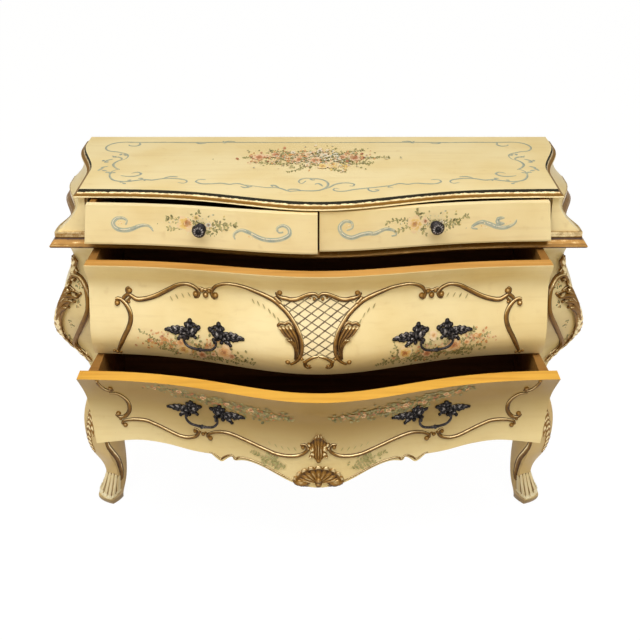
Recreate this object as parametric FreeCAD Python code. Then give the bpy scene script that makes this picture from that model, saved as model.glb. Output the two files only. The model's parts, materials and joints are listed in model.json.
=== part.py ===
import FreeCAD, Part
import math
import os

# Heights from the floor up, mm
LEG_HEIGHT = 288.0
DUST_BOARD = 9.0
LOWER_OPENING = 190.0
MIDDLE_OPENING = 222.5
WAIST_HEIGHT = 19.5
FRIEZE_HEIGHT = 94.0
TOP_HEIGHT = 18.0

# Half width of the drawer openings, from which every other width is measured
STILE_HALF = 506.0

# Plan of the top board: reach past the openings, depth, bow of the front and flare of the ends
TOP_OUT = 16.0
TOP_FRONT = 0.0
TOP_BACK = 400.0
TOP_BOW = 84.0
TOP_BOW_SHARE = 0.316
TOP_EDGE_REACH = 13.0
END_FLARE = 48.0
FLARE_START = 130.0
FLARE_RUN = 210.0

# Waist moulding and frieze, and how far each draws in along the ends behind the front corners
WAIST_OVERHANG = 19.0
WAIST_FRONT = -20.0
WAIST_WIDTH = 42.0
WAIST_NOSE = 13.0
BEAD_HEIGHT = 14.0
BEAD_THICK = 6.0
COVE_OUT = 20.0
COVE_FOOT_OUT = 73.0
WAIST_DRAW = 15.0
BEAD_DRAW = 14.0
COVE_DRAW = 10.0
DRAW_RUN = 90.0
FRIEZE_THICK = 18.0
FRIEZE_BOW = 62.0
FRIEZE_LIP = 5.0

# The bombe line of the front corner, as distance behind the top's front corner
FRONT_LIP = 8.0
FRONT_NECK = 40.0
FRONT_BELLY = 15.0
FRONT_PINCH = 92.0
FRONT_FOOT = 86.0

# The bombe line of the sides, as distance out from the drawer openings
LIP_OUT = 72.0
NECK_OUT = 63.0
BELLY_OUT = 128.0
PINCH_OUT = 55.0
FOOT_OUT = 60.0
SIDE_THICK = 18.0
BODY_FLARE = 24.0

# Heights where the lines turn, measured from the nearest board; the sides turn lower than the front
NECK_DROP = 59.5
BELLY_RISE = 49.0
PINCH_RISE = 105.0
SIDE_BELLY_DROP = 36.0
SIDE_PINCH_RISE = 52.0

# Bow of the drawer fronts: depth at the lip and at the belly, and its spread over the width
LIP_BOW = 65.0
BELLY_BOW = 104.0
BOW_SHARE = 0.3755

# Corner stiles: the slant of their faces above and below the belly, their crown, mitre and carving
UPPER_SLANT = 0.66
LOWER_SLANT = 0.36
SLANT_FOOT = 122.0
SLANT_RUN = 150.0
STILE_CROWN = 0.07
MITRE_GAP = 0.3
CARVING_PROUD = 7.0
CARVING_GAP = 0.3

# Drawers
DRAWER_GAP = 2.0
RUN_GAP = 0.4
FRONT_DROP = 6.0
FRIEZE_FRONT_THICK = 18.0
FRIEZE_FRONT_GAP = 3.0
FRIEZE_FRONT_TAPER = 9.0
MIDDLE_FRONT_THICK = 36.0
BOTTOM_FRONT_THICK = 40.0
BOTTOM_EAR = 20.0
DRAWER_SIDE_INSET = 9.0
DRAWER_SIDE_THICK = 13.0
DRAWER_SIDE_FLARE = 5.0
DRAWER_FLARE_END = 60.0
DRAWER_STRAIGHT = 190.0
DRAWER_BACK_THICK = 12.0
DRAWER_BACK_DROP = 8.0
DRAWER_BOTTOM_THICK = 6.0
DRAWER_BOTTOM_RISE = 9.0
GROOVE = 5.0
REAR_SPACE = 6.0
DIVIDER_THICK = 12.0
BOARD_SHOULDER = 160.0
GUIDE_START = 165.0
GUIDE_WIDTH = 9.0
GUIDE_HEIGHT = 20.0
APRON_DROP = 45.0

# How far each drawer stands open
LEFT_OPEN = 43.0
RIGHT_OPEN = 27.0
MIDDLE_OPEN = 118.0
BOTTOM_OPEN = 236.0

# Back panel
BACK_THICK = 8.0
BACK_INSET = 6.0
BACK_SETBACK = 4.0

# Handles
KNOB_RADIUS = 15.0
KNOB_REACH = 24.0
KNOB_PLACE = 0.5
SCREW_RADIUS = 2.5
SCREW_DEPTH = 12.0
SCREW_ROOM = 0.1
PULL_PLACE = 0.498
MIDDLE_PULL_RISE = 0.3254
BOTTOM_PULL_RISE = 0.626
PULL_SPAN = 68.0
PLATE_THICK = 3.0
INNER_PLATE_TURN = -6.0
SEAT_ROOM = 0.9
POST_RADIUS = 5.0
POST_REACH = 17.0
EYE_ROOM = 0.5
EYE_LENGTH = 9.0
BAIL_RADIUS = 2.2
BAIL_SHOULDER = 5.0
BAIL_BEND = 11.0
BAIL_TAPER = 0.86
BAIL_DROP = 25.0
KNOP_HALF = 6.0

# Carved trim
SCROLL_WIDTH = 9.0
LEAF_WIDTH = 17.0
LEAF_GAP = 0.3
SCROLL_PROUD = 6.0
SHELL_PROUD = 11.0
TRIM_GAP = 0.05

# Half widths that follow from the sizes above
TOP_HALF = STILE_HALF + TOP_OUT
FRIEZE_COVE_TOP = STILE_HALF + COVE_OUT
SIDE_LIP = STILE_HALF + LIP_OUT
SIDE_NECK = STILE_HALF + NECK_OUT
SIDE_BELLY = STILE_HALF + BELLY_OUT
SIDE_PINCH = STILE_HALF + PINCH_OUT
SIDE_FOOT = STILE_HALF + FOOT_OUT
WAIST_HALF = SIDE_LIP + WAIST_OVERHANG
FRIEZE_COVE_FOOT = STILE_HALF + COVE_FOOT_OUT
DRAWER_SIDE_HALF = STILE_HALF - DRAWER_SIDE_INSET
TOP_BOW_WIDTH = TOP_BOW_SHARE * STILE_HALF
BOW_WIDTH = BOW_SHARE * STILE_HALF

# Levels that follow from the sizes above
Z_BOTTOM = LEG_HEIGHT
Z_LOWER = Z_BOTTOM + DUST_BOARD
Z_MID = Z_LOWER + LOWER_OPENING
Z_MIDDLE = Z_MID + DUST_BOARD
Z_WAIST = Z_MIDDLE + MIDDLE_OPENING
Z_FRIEZE = Z_WAIST + WAIST_HEIGHT
Z_COVE = Z_FRIEZE + BEAD_HEIGHT
Z_TOP = Z_FRIEZE + FRIEZE_HEIGHT
Z_ALL = Z_TOP + TOP_HEIGHT
Z_NECK = Z_WAIST - NECK_DROP
Z_BELLY = Z_MIDDLE + BELLY_RISE
Z_PINCH = Z_BOTTOM + PINCH_RISE
Z_SIDE_BELLY = Z_MIDDLE - SIDE_BELLY_DROP
Z_SIDE_PINCH = Z_BOTTOM + SIDE_PINCH_RISE
FRONT_LINE = (
    (Z_WAIST, FRONT_LIP), (Z_NECK, FRONT_NECK), (Z_BELLY, FRONT_BELLY), (Z_PINCH, FRONT_PINCH),
    (Z_BOTTOM, FRONT_FOOT),
)
SIDE_LINE = (
    (Z_WAIST, SIDE_LIP), (Z_NECK, SIDE_NECK), (Z_SIDE_BELLY, SIDE_BELLY), (Z_SIDE_PINCH, SIDE_PINCH),
    (Z_BOTTOM, SIDE_FOOT),
)
Y_BACK = TOP_BACK - BACK_SETBACK - BACK_THICK
DRAWER_REAR = Y_BACK - REAR_SPACE
MIDDLE_TOP = Z_WAIST - 2.0 * DRAWER_GAP
MIDDLE_FOOT = Z_MIDDLE - FRONT_DROP
BOTTOM_TOP = Z_MID - DRAWER_GAP
BOTTOM_FOOT = Z_BOTTOM + DRAWER_GAP
MIDDLE_HALF = STILE_HALF - DRAWER_GAP
MITRE = FreeCAD.Vector(-0.8, 0.6, 0.0)
MITRE_SIDEWAYS = FreeCAD.Vector(0.6, 0.8, 0.0)
FAR = 900.0
BOARD_START = -0.5 * FAR


def vec(x, y, z):
    return FreeCAD.Vector(x, y, z)


def spread(first, last, count):
    """Evenly spaced values from first to last."""
    return [first + (last - first) * i / (count - 1) for i in range(count)]


def ease(t):
    """Smooth step from 0 to 1."""
    t = min(1.0, max(0.0, t))
    return t * t * (3.0 - 2.0 * t)


def swell(line, z):
    """Value at height z of a bombe line, which turns at each of its levels."""
    if z >= line[0][0]:
        return line[0][1]
    for (upper, start), (lower, end) in zip(line, line[1:]):
        if z >= lower:
            return start + (end - start) * ease((upper - z) / (upper - lower))
    return line[-1][1]


def bell(x, width):
    """The bow of a serpentine front: 1 at the middle, nearly 0 at the corners."""
    return math.exp(-0.5 * (x / width) ** 2)


def end_flare(y, size):
    """How far the ends widen at depth y."""
    return size * ease((y - FLARE_START) / FLARE_RUN)


def draw_in(y, size):
    """How far the ends draw in at depth y, behind a front corner."""
    return size * ease((y - TOP_FRONT - FRIEZE_THICK) / DRAW_RUN)


def front_y(x, z):
    """Face of the closed middle and bottom drawer fronts."""
    fade = ease((Z_WAIST - z) / (Z_WAIST - Z_BELLY))
    bow = LIP_BOW + (BELLY_BOW - LIP_BOW) * fade
    return swell(FRONT_LINE, z) - bow * bell(x, BOW_WIDTH)


def frieze_y(x, z):
    """Face of the closed frieze drawer fronts, with a lip along the foot."""
    rise = (z - Z_FRIEZE) / FRIEZE_HEIGHT
    return TOP_FRONT - FRIEZE_LIP * (1.0 - rise) ** 2 - FRIEZE_BOW * bell(x, BOW_WIDTH)


def frieze_x(y, z):
    """Coved outline of the frieze ends above their rail, with its flare."""
    fall = (Z_TOP - z) / (Z_TOP - Z_COVE)
    foot = FRIEZE_COVE_FOOT - draw_in(y, COVE_DRAW)
    return FRIEZE_COVE_TOP + (foot - FRIEZE_COVE_TOP) * fall ** 2 + end_flare(y, END_FLARE)


def stile_point(share, z):
    """Point on the face of the right stile, from its inner edge (0) to the arris with the side (1)."""
    width = swell(SIDE_LINE, z) - STILE_HALF
    slant = LOWER_SLANT + (UPPER_SLANT - LOWER_SLANT) * ease((z - Z_BOTTOM - SLANT_FOOT) / SLANT_RUN)
    crown = STILE_CROWN * width * math.sin(math.pi * share)
    x = STILE_HALF + width * share + 0.5 * crown
    y = swell(FRONT_LINE, z) + slant * width * share - crown
    return vec(x, y, z)


def side_point(share, z):
    """Point on the face of the right side, from the arris (0) to the back (1)."""
    arris = stile_point(1.0, z)
    y = arris.y + (Y_BACK - arris.y) * share
    fade = ease((z - Z_BELLY) / (Z_WAIST - Z_BELLY))
    flare = BODY_FLARE + (END_FLARE - BODY_FLARE) * fade
    return vec(arris.x + end_flare(y, flare), y, z)


def bottom_half(z):
    """Half width of the bottom drawer front, which has ears at its upper corners."""
    rise = (z - BOTTOM_FOOT) / (BOTTOM_TOP - BOTTOM_FOOT)
    return MIDDLE_HALF + BOTTOM_EAR * rise


def sheet(rule, us, vs):
    """Smooth face through the points that a rule gives over a grid."""
    surface = Part.BSplineSurface()
    surface.interpolate([[rule(u, v) for v in vs] for u in us])
    return surface.toShape()


def thicken(face, direction):
    """Solid swept by a face along a direction."""
    solid = face.extrude(direction)
    if solid.Volume < 0.0:
        solid.reverse()
    return solid


def spline(points):
    """Smooth edge through points, spaced alike in every section."""
    curve = Part.BSplineCurve()
    curve.interpolate(Points=points, Parameters=spread(0.0, 1.0, len(points)))
    return curve.toShape()


def line(start, end):
    return Part.makeLine(start, end)


def box(x0, x1, y0, y1, z0, z1):
    return Part.makeBox(x1 - x0, y1 - y0, z1 - z0, vec(x0, y0, z0))


def mirrored(shape):
    """The left-hand twin of a right-hand piece."""
    return shape.mirror(vec(0.0, 0.0, 0.0), vec(1.0, 0.0, 0.0))


def both(shape):
    """A right-hand piece with its left-hand twin."""
    return Part.makeCompound([shape, mirrored(shape)])


def plan_wire(half, front, back, bow, bow_width, draw, z):
    """Outline of a board in plan: serpentine front, flared ends, straight back."""
    end = [vec(half + end_flare(y, END_FLARE) - draw_in(y, draw), y, z) for y in spread(front, back, 21)]
    corner = end[0].x
    nose = []
    for x in spread(-corner, corner, 25):
        nose.append(vec(x, front - bow * (bell(x, bow_width) - bell(corner, bow_width)), z))
    other = [vec(-p.x, p.y, z) for p in end]
    edges = [spline(nose), spline(end), line(end[-1], other[-1]), spline(other[::-1])]
    return Part.Wire(edges)


def plan_board(half, front, back, bow, bow_width, draw, z0, z1):
    """Board with upright edges on such an outline."""
    face = Part.Face(plan_wire(half, front, back, bow, bow_width, draw, z0))
    return thicken(face, vec(0.0, 0.0, z1 - z0))


def moulded_board(half, front, back, bow, bow_width, draw, profile):
    """Board whose edge follows a profile of heights and reaches."""
    wires = []
    for z, reach in profile:
        wires.append(plan_wire(half + reach, front - reach, back, bow, bow_width, draw, z))
    return Part.makeLoft(wires, True, True)


# Top board with an ogee edge that reaches out under the upper arris
TOP_PROFILE = (
    (Z_TOP, 0.55 * TOP_EDGE_REACH),
    (Z_TOP + 0.16 * TOP_HEIGHT, TOP_EDGE_REACH),
    (Z_TOP + 0.34 * TOP_HEIGHT, 0.92 * TOP_EDGE_REACH),
    (Z_TOP + 0.5 * TOP_HEIGHT, 0.45 * TOP_EDGE_REACH),
    (Z_TOP + 0.8 * TOP_HEIGHT, 0.18 * TOP_EDGE_REACH),
    (Z_ALL, 0.0),
)
top_board = moulded_board(TOP_HALF, TOP_FRONT, TOP_BACK, TOP_BOW, TOP_BOW_WIDTH, 0.0, TOP_PROFILE)

# Waist moulding: a gilt nose round three sides, mitred at the corners, and the dust board within it
WAIST_PROFILE = (
    (Z_WAIST, -0.2 * WAIST_NOSE),
    (Z_WAIST + 0.2 * WAIST_HEIGHT, 0.0),
    (Z_WAIST + 0.5 * WAIST_HEIGHT, -0.3 * WAIST_NOSE),
    (Z_FRIEZE, -WAIST_NOSE),
)
waist_solid = moulded_board(
    WAIST_HALF, WAIST_FRONT, Y_BACK, FRIEZE_BOW, BOW_WIDTH, WAIST_DRAW, WAIST_PROFILE)
WAIST_INNER = WAIST_HALF - WAIST_WIDTH
WAIST_INNER_FRONT = WAIST_FRONT + WAIST_WIDTH
waist_board = plan_board(
    WAIST_INNER, WAIST_INNER_FRONT, Y_BACK, FRIEZE_BOW, BOW_WIDTH, WAIST_DRAW, Z_WAIST, Z_FRIEZE)
waist_ring = waist_solid.cut(waist_board)
mitre_wedge = Part.Face(Part.makePolygon([
    vec(WAIST_INNER, WAIST_INNER_FRONT, Z_WAIST - 1.0),
    vec(WAIST_INNER + FAR, WAIST_INNER_FRONT - FAR, Z_WAIST - 1.0),
    vec(-WAIST_INNER - FAR, WAIST_INNER_FRONT - FAR, Z_WAIST - 1.0),
    vec(-WAIST_INNER, WAIST_INNER_FRONT, Z_WAIST - 1.0),
    vec(WAIST_INNER, WAIST_INNER_FRONT, Z_WAIST - 1.0),
])).extrude(vec(0.0, 0.0, WAIST_HEIGHT + 2.0))
waist_front = waist_ring.common(mitre_wedge)
waist_ends = waist_ring.cut(mitre_wedge)
waist_moulding = Part.makeCompound(waist_front.Solids + waist_ends.Solids)

# Frieze ends: a coved side and a front stile, on a gilt rail that stands out round their foot
STILE_EDGE = STILE_HALF + DRAWER_GAP + FRIEZE_LIP
frieze_side = thicken(
    sheet(lambda y, z: vec(frieze_x(y, z), y, z),
          spread(TOP_FRONT + FRIEZE_THICK, Y_BACK, 21), spread(Z_COVE, Z_TOP, 9)),
    vec(-FRIEZE_THICK, 0.0, 0.0))
cove = [vec(frieze_x(TOP_FRONT, z), TOP_FRONT, z) for z in spread(Z_COVE, Z_TOP, 9)]
inner_edge = [vec(STILE_EDGE, TOP_FRONT, Z_TOP), vec(STILE_EDGE, TOP_FRONT, Z_COVE)]
stile_wire = Part.Wire([
    spline(cove), line(cove[-1], inner_edge[0]), line(inner_edge[0], inner_edge[1]),
    line(inner_edge[1], cove[0]),
])
frieze_stile = thicken(Part.Face(stile_wire), vec(0.0, FRIEZE_THICK, 0.0))
frieze_end = Part.makeCompound([frieze_side, frieze_stile])
rail_outer = plan_board(
    FRIEZE_COVE_FOOT + BEAD_THICK, TOP_FRONT - BEAD_THICK, Y_BACK, 0.0, BOW_WIDTH, BEAD_DRAW,
    Z_FRIEZE, Z_COVE)
rail_inner = plan_board(
    FRIEZE_COVE_FOOT - FRIEZE_THICK, TOP_FRONT + FRIEZE_THICK, Y_BACK, 0.0, BOW_WIDTH, COVE_DRAW,
    Z_FRIEZE, Z_COVE)
right_of_stile = box(STILE_EDGE, FAR, -FAR, FAR, Z_FRIEZE, Z_COVE)
frieze_bead = rail_outer.cut(rail_inner).common(right_of_stile)

# Bombe sides and canted stiles, mitred along their arris
heights = spread(Z_BOTTOM, Z_WAIST, 49)
stile_face = sheet(stile_point, spread(0.0, 1.0, 7), heights)
side_face = sheet(side_point, spread(0.0, 1.0, 13), heights)
drawer_way = Part.Face(Part.makePolygon([
    vec(0.0, -FAR, Z_WAIST), vec(STILE_HALF, -FAR, Z_WAIST), vec(STILE_HALF, -FAR, Z_MIDDLE - FRONT_DROP),
    vec(bottom_half(BOTTOM_TOP) + DRAWER_GAP, -FAR, Z_MIDDLE - FRONT_DROP),
    vec(bottom_half(BOTTOM_TOP) + DRAWER_GAP, -FAR, BOTTOM_TOP),
    vec(bottom_half(Z_BOTTOM) + DRAWER_GAP, -FAR, Z_BOTTOM), vec(0.0, -FAR, Z_BOTTOM),
    vec(0.0, -FAR, Z_WAIST),
])).extrude(vec(0.0, 2.0 * FAR, 0.0))
corner_stile = thicken(stile_face, MITRE * SIDE_THICK).cut(drawer_way)
rear_cut = box(0.0, FAR, Y_BACK, FAR, 0.0, Z_ALL)
bombe_side = thicken(side_face, MITRE * SIDE_THICK).translated(MITRE_SIDEWAYS * MITRE_GAP).cut(rear_cut)
outside = thicken(side_face.translated(MITRE * SIDE_THICK), vec(FAR, 0.0, 0.0))
corner_way = vec(0.6, -1.0, 0.0)
corner_way.normalize()
stile_space = thicken(stile_face.translated(corner_way * CARVING_GAP), corner_way * CARVING_PROUD)


def dust_board(z, front_thick):
    """Board across the carcass behind a drawer front, cut to the inside of both sides."""
    half = SIDE_BELLY + BODY_FLARE
    edge = STILE_HALF - DRAWER_GAP
    nose = []
    for x in spread(-edge, edge, 25):
        depth = max(front_y(x, z), front_y(x, z + DUST_BOARD), front_y(x, z - FRONT_DROP))
        nose.append(vec(x, depth + front_thick + DRAWER_GAP, z))
    ring = [
        vec(edge, BOARD_SHOULDER, z), vec(half, BOARD_SHOULDER, z), vec(half, Y_BACK, z),
        vec(-half, Y_BACK, z), vec(-half, BOARD_SHOULDER, z), vec(-edge, BOARD_SHOULDER, z),
    ]
    edges = [spline(nose), line(nose[-1], ring[0])]
    edges += [line(a, b) for a, b in zip(ring, ring[1:])]
    edges.append(line(ring[-1], nose[0]))
    board = thicken(Part.Face(Part.Wire(edges)), vec(0.0, 0.0, DUST_BOARD))
    return board.cut(outside).cut(mirrored(outside))


middle_board = dust_board(Z_MID, MIDDLE_FRONT_THICK)
bottom_board = dust_board(Z_BOTTOM, BOTTOM_FRONT_THICK)

# Back panel, cut to the outline of the sides and the frieze
lower_edge = [side_point(1.0, z) - vec(BACK_INSET, 0.0, 0.0) for z in heights]
upper_edge = [vec(frieze_x(Y_BACK, z) - BACK_INSET, Y_BACK, z) for z in spread(Z_COVE, Z_TOP, 9)]
right_edges = [spline(lower_edge), line(lower_edge[-1], upper_edge[0]), spline(upper_edge)]
left_edges = [mirrored(edge) for edge in right_edges]
across = [
    line(upper_edge[-1], vec(-upper_edge[-1].x, Y_BACK, Z_TOP)),
    line(lower_edge[0], vec(-lower_edge[0].x, Y_BACK, Z_BOTTOM)),
]
back_wire = Part.Wire(Part.__sortEdges__(right_edges + left_edges + across))
back_panel = thicken(Part.Face(back_wire), vec(0.0, BACK_THICK, 0.0))
DIVIDER_FRONT = frieze_y(0.0, Z_FRIEZE) + FRIEZE_FRONT_THICK + FRIEZE_LIP + DRAWER_GAP
frieze_divider = box(-DIVIDER_THICK / 2.0, DIVIDER_THICK / 2.0, DIVIDER_FRONT, Y_BACK, Z_FRIEZE, Z_TOP)


def guide(z):
    """Strip on a dust board that keeps a drawer straight."""
    inner = DRAWER_SIDE_HALF + DRAWER_GAP
    return both(box(inner, inner + GUIDE_WIDTH, GUIDE_START, Y_BACK, z, z + GUIDE_HEIGHT))


drawer_guides = Part.makeCompound([guide(Z_MIDDLE), guide(Z_LOWER)])

# Cabriole legs: square sections with rounded faces, swung out along one direction
LEG_CROWN = 0.12
FRONT_LEG_OUT = 29.0
FRONT_LEG_BACK = 18.0
BACK_LEG_IN = 36.0
BACK_LEG_FORWARD = 50.0
BACK_LEG_LEAN = 0.3
LEG_STATIONS = (
    (1.0, -9.0, 1.0, 28.0),
    (0.87, -1.0, 3.0, 33.0),
    (0.71, 8.0, 2.0, 34.0),
    (0.555, 11.0, -2.0, 32.0),
    (0.4, 5.0, -7.0, 27.5),
    (0.26, 1.0, -18.0, 19.5),
    (0.174, 12.0, -26.0, 18.5),
    (0.087, 36.0, -30.0, 22.0),
    (0.0, 39.0, -31.0, 20.0),
)


def leg(place_x, place_y, out_way, lean):
    """Leg whose sections swing out along a direction in plan and lean to one side of it."""
    side_way = vec(-out_way.y, out_way.x, 0.0)
    wires = []
    for rise, kick, shift, half in LEG_STATIONS:
        centre = vec(place_x, place_y, rise * LEG_HEIGHT) + out_way * kick + side_way * (lean * shift)
        corners = []
        for a, b in ((1, 1), (-1, 1), (-1, -1), (1, -1)):
            corners.append(centre + out_way * (a * half) + side_way * (b * half))
        edges = []
        for start, end in zip(corners, corners[1:] + corners[:1]):
            middle = (start + end) * 0.5
            crown = middle + (middle - centre) * LEG_CROWN
            edges.append(Part.Arc(start, crown, end).toShape())
        wires.append(Part.Wire(edges))
    return Part.makeLoft(wires, True, False)


FRONT_LEG_X = STILE_HALF + FRONT_LEG_OUT
FRONT_LEG_Y = FRONT_FOOT + FRONT_LEG_BACK
front_leg = leg(FRONT_LEG_X, FRONT_LEG_Y, corner_way, 1.0)
BACK_LEG_X = SIDE_FOOT + BODY_FLARE - BACK_LEG_IN
BACK_LEG_Y = Y_BACK - BACK_LEG_FORWARD
back_leg = leg(BACK_LEG_X, BACK_LEG_Y, vec(1.0, 0.0, 0.0), BACK_LEG_LEAN)


def drawer_box(face, thick, left, right, z0, z1, flare_left, flare_right):
    """Sides, back and bottom of a drawer, fitted to the inside of its front."""
    ahead = thicken(face.translated(vec(0.0, thick, 0.0)), vec(0.0, -FAR, 0.0))
    inner_left = left + DRAWER_SIDE_THICK
    inner_right = right - DRAWER_SIDE_THICK

    def side(inner, outer, flare):
        plan = [
            vec(inner, BOARD_START, z0), vec(outer + flare, BOARD_START, z0),
            vec(outer + flare, DRAWER_FLARE_END, z0), vec(outer, DRAWER_STRAIGHT, z0),
            vec(outer, DRAWER_REAR, z0), vec(inner, DRAWER_REAR, z0), vec(inner, BOARD_START, z0),
        ]
        board = thicken(Part.Face(Part.makePolygon(plan)), vec(0.0, 0.0, z1 - z0))
        return board.cut(ahead)

    floor = z0 + DRAWER_BOTTOM_RISE
    bottom = box(inner_left - GROOVE, inner_right + GROOVE, BOARD_START, DRAWER_REAR,
                 floor, floor + DRAWER_BOTTOM_THICK)
    bottom = bottom.cut(ahead.translated(vec(0.0, -GROOVE, 0.0)))
    sides = [side(inner_left, left, -flare_left), side(inner_right, right, flare_right)]
    sides = Part.makeCompound([part.cut(bottom) for part in sides])
    back = box(inner_left, inner_right, DRAWER_REAR - DRAWER_BACK_THICK, DRAWER_REAR,
               floor + DRAWER_BOTTOM_THICK, z1 - DRAWER_BACK_DROP)
    return sides, back, bottom


# Frieze drawers, the right one modelled and the left one its twin
FRIEZE_FRONT_FOOT = Z_FRIEZE + FRIEZE_FRONT_GAP
FRIEZE_FRONT_TOP = Z_TOP - FRIEZE_FRONT_GAP


def frieze_front_point(share, z):
    rise = (z - FRIEZE_FRONT_FOOT) / (FRIEZE_FRONT_TOP - FRIEZE_FRONT_FOOT)
    inner = DRAWER_GAP
    outer = STILE_EDGE - DRAWER_GAP - FRIEZE_FRONT_TAPER * rise
    x = inner + (outer - inner) * share
    return vec(x, frieze_y(x, z), z)


frieze_face = sheet(frieze_front_point, spread(0.0, 1.0, 19), spread(FRIEZE_FRONT_FOOT, FRIEZE_FRONT_TOP, 9))
frieze_front = thicken(frieze_face, vec(0.0, FRIEZE_FRONT_THICK, 0.0))
frieze_reach = sheet(
    lambda x, z: vec(x, frieze_y(x, z), z), spread(0.0, SIDE_LIP, 19), spread(Z_FRIEZE, Z_TOP, 9))
frieze_sides, frieze_back, frieze_bottom = drawer_box(
    frieze_reach, FRIEZE_FRONT_THICK, DIVIDER_THICK / 2.0 + DRAWER_GAP, DRAWER_SIDE_HALF,
    Z_FRIEZE + RUN_GAP, FRIEZE_FRONT_TOP, 0.0, 0.0)
frieze_front = frieze_front.cut(frieze_bottom)

# Middle drawer
middle_face = sheet(
    lambda x, z: vec(x, front_y(x, z), z),
    spread(-MIDDLE_HALF, MIDDLE_HALF, 33), spread(MIDDLE_FOOT, MIDDLE_TOP, 17))
middle_front = thicken(middle_face, vec(0.0, MIDDLE_FRONT_THICK, 0.0))
middle_sides, middle_back, middle_bottom = drawer_box(
    middle_face, MIDDLE_FRONT_THICK, -DRAWER_SIDE_HALF, DRAWER_SIDE_HALF,
    Z_MIDDLE + RUN_GAP, MIDDLE_TOP, DRAWER_SIDE_FLARE, DRAWER_SIDE_FLARE)
middle_front = middle_front.cut(middle_bottom)

# Bottom drawer, whose front hangs below the carcass as the apron
APRON_FOOT = Z_BOTTOM - APRON_DROP
bottom_face = sheet(
    lambda share, z: vec(share * bottom_half(z), front_y(share * bottom_half(z), z), z),
    spread(-1.0, 1.0, 33), spread(APRON_FOOT, BOTTOM_TOP, 21))
bottom_front = thicken(bottom_face, vec(0.0, BOTTOM_FRONT_THICK, 0.0))
bottom_reach = sheet(
    lambda x, z: vec(x, front_y(x, z), z),
    spread(-SIDE_BELLY, SIDE_BELLY, 37), spread(APRON_FOOT, BOTTOM_TOP, 21))
bottom_sides, bottom_back, bottom_bottom = drawer_box(
    bottom_reach, BOTTOM_FRONT_THICK, -DRAWER_SIDE_HALF, DRAWER_SIDE_HALF,
    Z_LOWER + RUN_GAP, BOTTOM_TOP, 2.0 * DRAWER_SIDE_FLARE, 2.0 * DRAWER_SIDE_FLARE)
bottom_front = bottom_front.cut(bottom_bottom)

# Sizes of the fronts for which the carving below is drawn; it grows and shrinks with them
DRAWN_HALF = 506.0
DRAWN_MIDDLE = 224.5
DRAWN_BOTTOM = 242.0
WIDER = STILE_HALF / DRAWN_HALF
MIDDLE_TALLER = (MIDDLE_TOP - MIDDLE_FOOT) / DRAWN_MIDDLE
BOTTOM_TALLER = (BOTTOM_TOP - APRON_FOOT) / DRAWN_BOTTOM


def on_middle(points):
    """Drawn places on the middle front, as places across and heights above its foot, to model places."""
    return [(x * WIDER, MIDDLE_FOOT + rise * MIDDLE_TALLER) for x, rise in points]


def on_bottom(points):
    """Drawn places on the bottom front, as places across and heights above the apron's lowest point."""
    return [(x * WIDER, APRON_FOOT + rise * BOTTOM_TALLER) for x, rise in points]


# Lower edge of the apron, right half
APRON_EDGE = (
    ((540.0, 47.0), (448.0, 61.0), (395.0, 66.0), (336.0, 61.0), (294.0, 54.0), (240.0, 52.0)),
    ((240.0, 52.0), (228.0, 42.0), (216.0, 37.0), (205.0, 46.0), (192.0, 54.0)),
    ((192.0, 54.0), (184.0, 46.0), (168.0, 50.0), (142.0, 48.0), (105.0, 34.0), (60.0, 12.0), (0.0, 0.0)),
)
apron_edges = []
for run in APRON_EDGE:
    apron_edges.append(spline([vec(x, -FAR, z) for x, z in on_bottom(run)]))
low = APRON_FOOT - APRON_DROP
end_x, end_z = on_bottom(APRON_EDGE[0])[0]
apron_edges.append(line(vec(0.0, -FAR, APRON_FOOT), vec(0.0, -FAR, low)))
apron_edges.append(line(vec(0.0, -FAR, low), vec(end_x, -FAR, low)))
apron_edges.append(line(vec(end_x, -FAR, low), vec(end_x, -FAR, end_z)))
below_apron = thicken(Part.Face(Part.Wire(Part.__sortEdges__(apron_edges))), vec(0.0, 2.0 * FAR, 0.0))
bottom_front = bottom_front.cut(below_apron).cut(mirrored(below_apron))


# Carved trim: bands and eyes seen from the front, cut to a layer that lies on the drawer front
def band(points, width):
    """Upright wall whose plan from the front is a ribbon along a curve."""
    curve = Part.BSplineCurve()
    curve.interpolate([vec(x, -FAR, z) for x, z in points])
    count = 4 * len(points)
    left = []
    right = []
    for t in spread(curve.FirstParameter, curve.LastParameter, count):
        way = curve.tangent(t)[0]
        across = vec(-way.z, 0.0, way.x) * (width / 2.0)
        left.append(curve.value(t) + across)
        right.append(curve.value(t) - across)
    wire = Part.Wire([spline(left), line(left[-1], right[-1]), spline(right[::-1]), line(right[0], left[0])])
    return thicken(Part.Face(wire), vec(0.0, 2.0 * FAR, 0.0))


def eye(x, z, radius):
    """Round end of a scroll."""
    return Part.makeCylinder(radius, 2.0 * FAR, vec(x, -FAR, z), vec(0.0, 1.0, 0.0))


def layer(face, proud):
    """Space just in front of a drawer face."""
    return thicken(face.translated(vec(0.0, -TRIM_GAP, 0.0)), vec(0.0, -proud, 0.0))


def trim(shapes, space):
    """Carving in the right half of a front and its twin in the left half."""
    solids = []
    for shape in shapes:
        piece = shape.common(space)
        solids += piece.Solids
    whole = solids[0].fuse(solids[1:]) if len(solids) > 1 else solids[0]
    return Part.makeCompound(whole.Solids + mirrored(whole).Solids)


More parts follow.
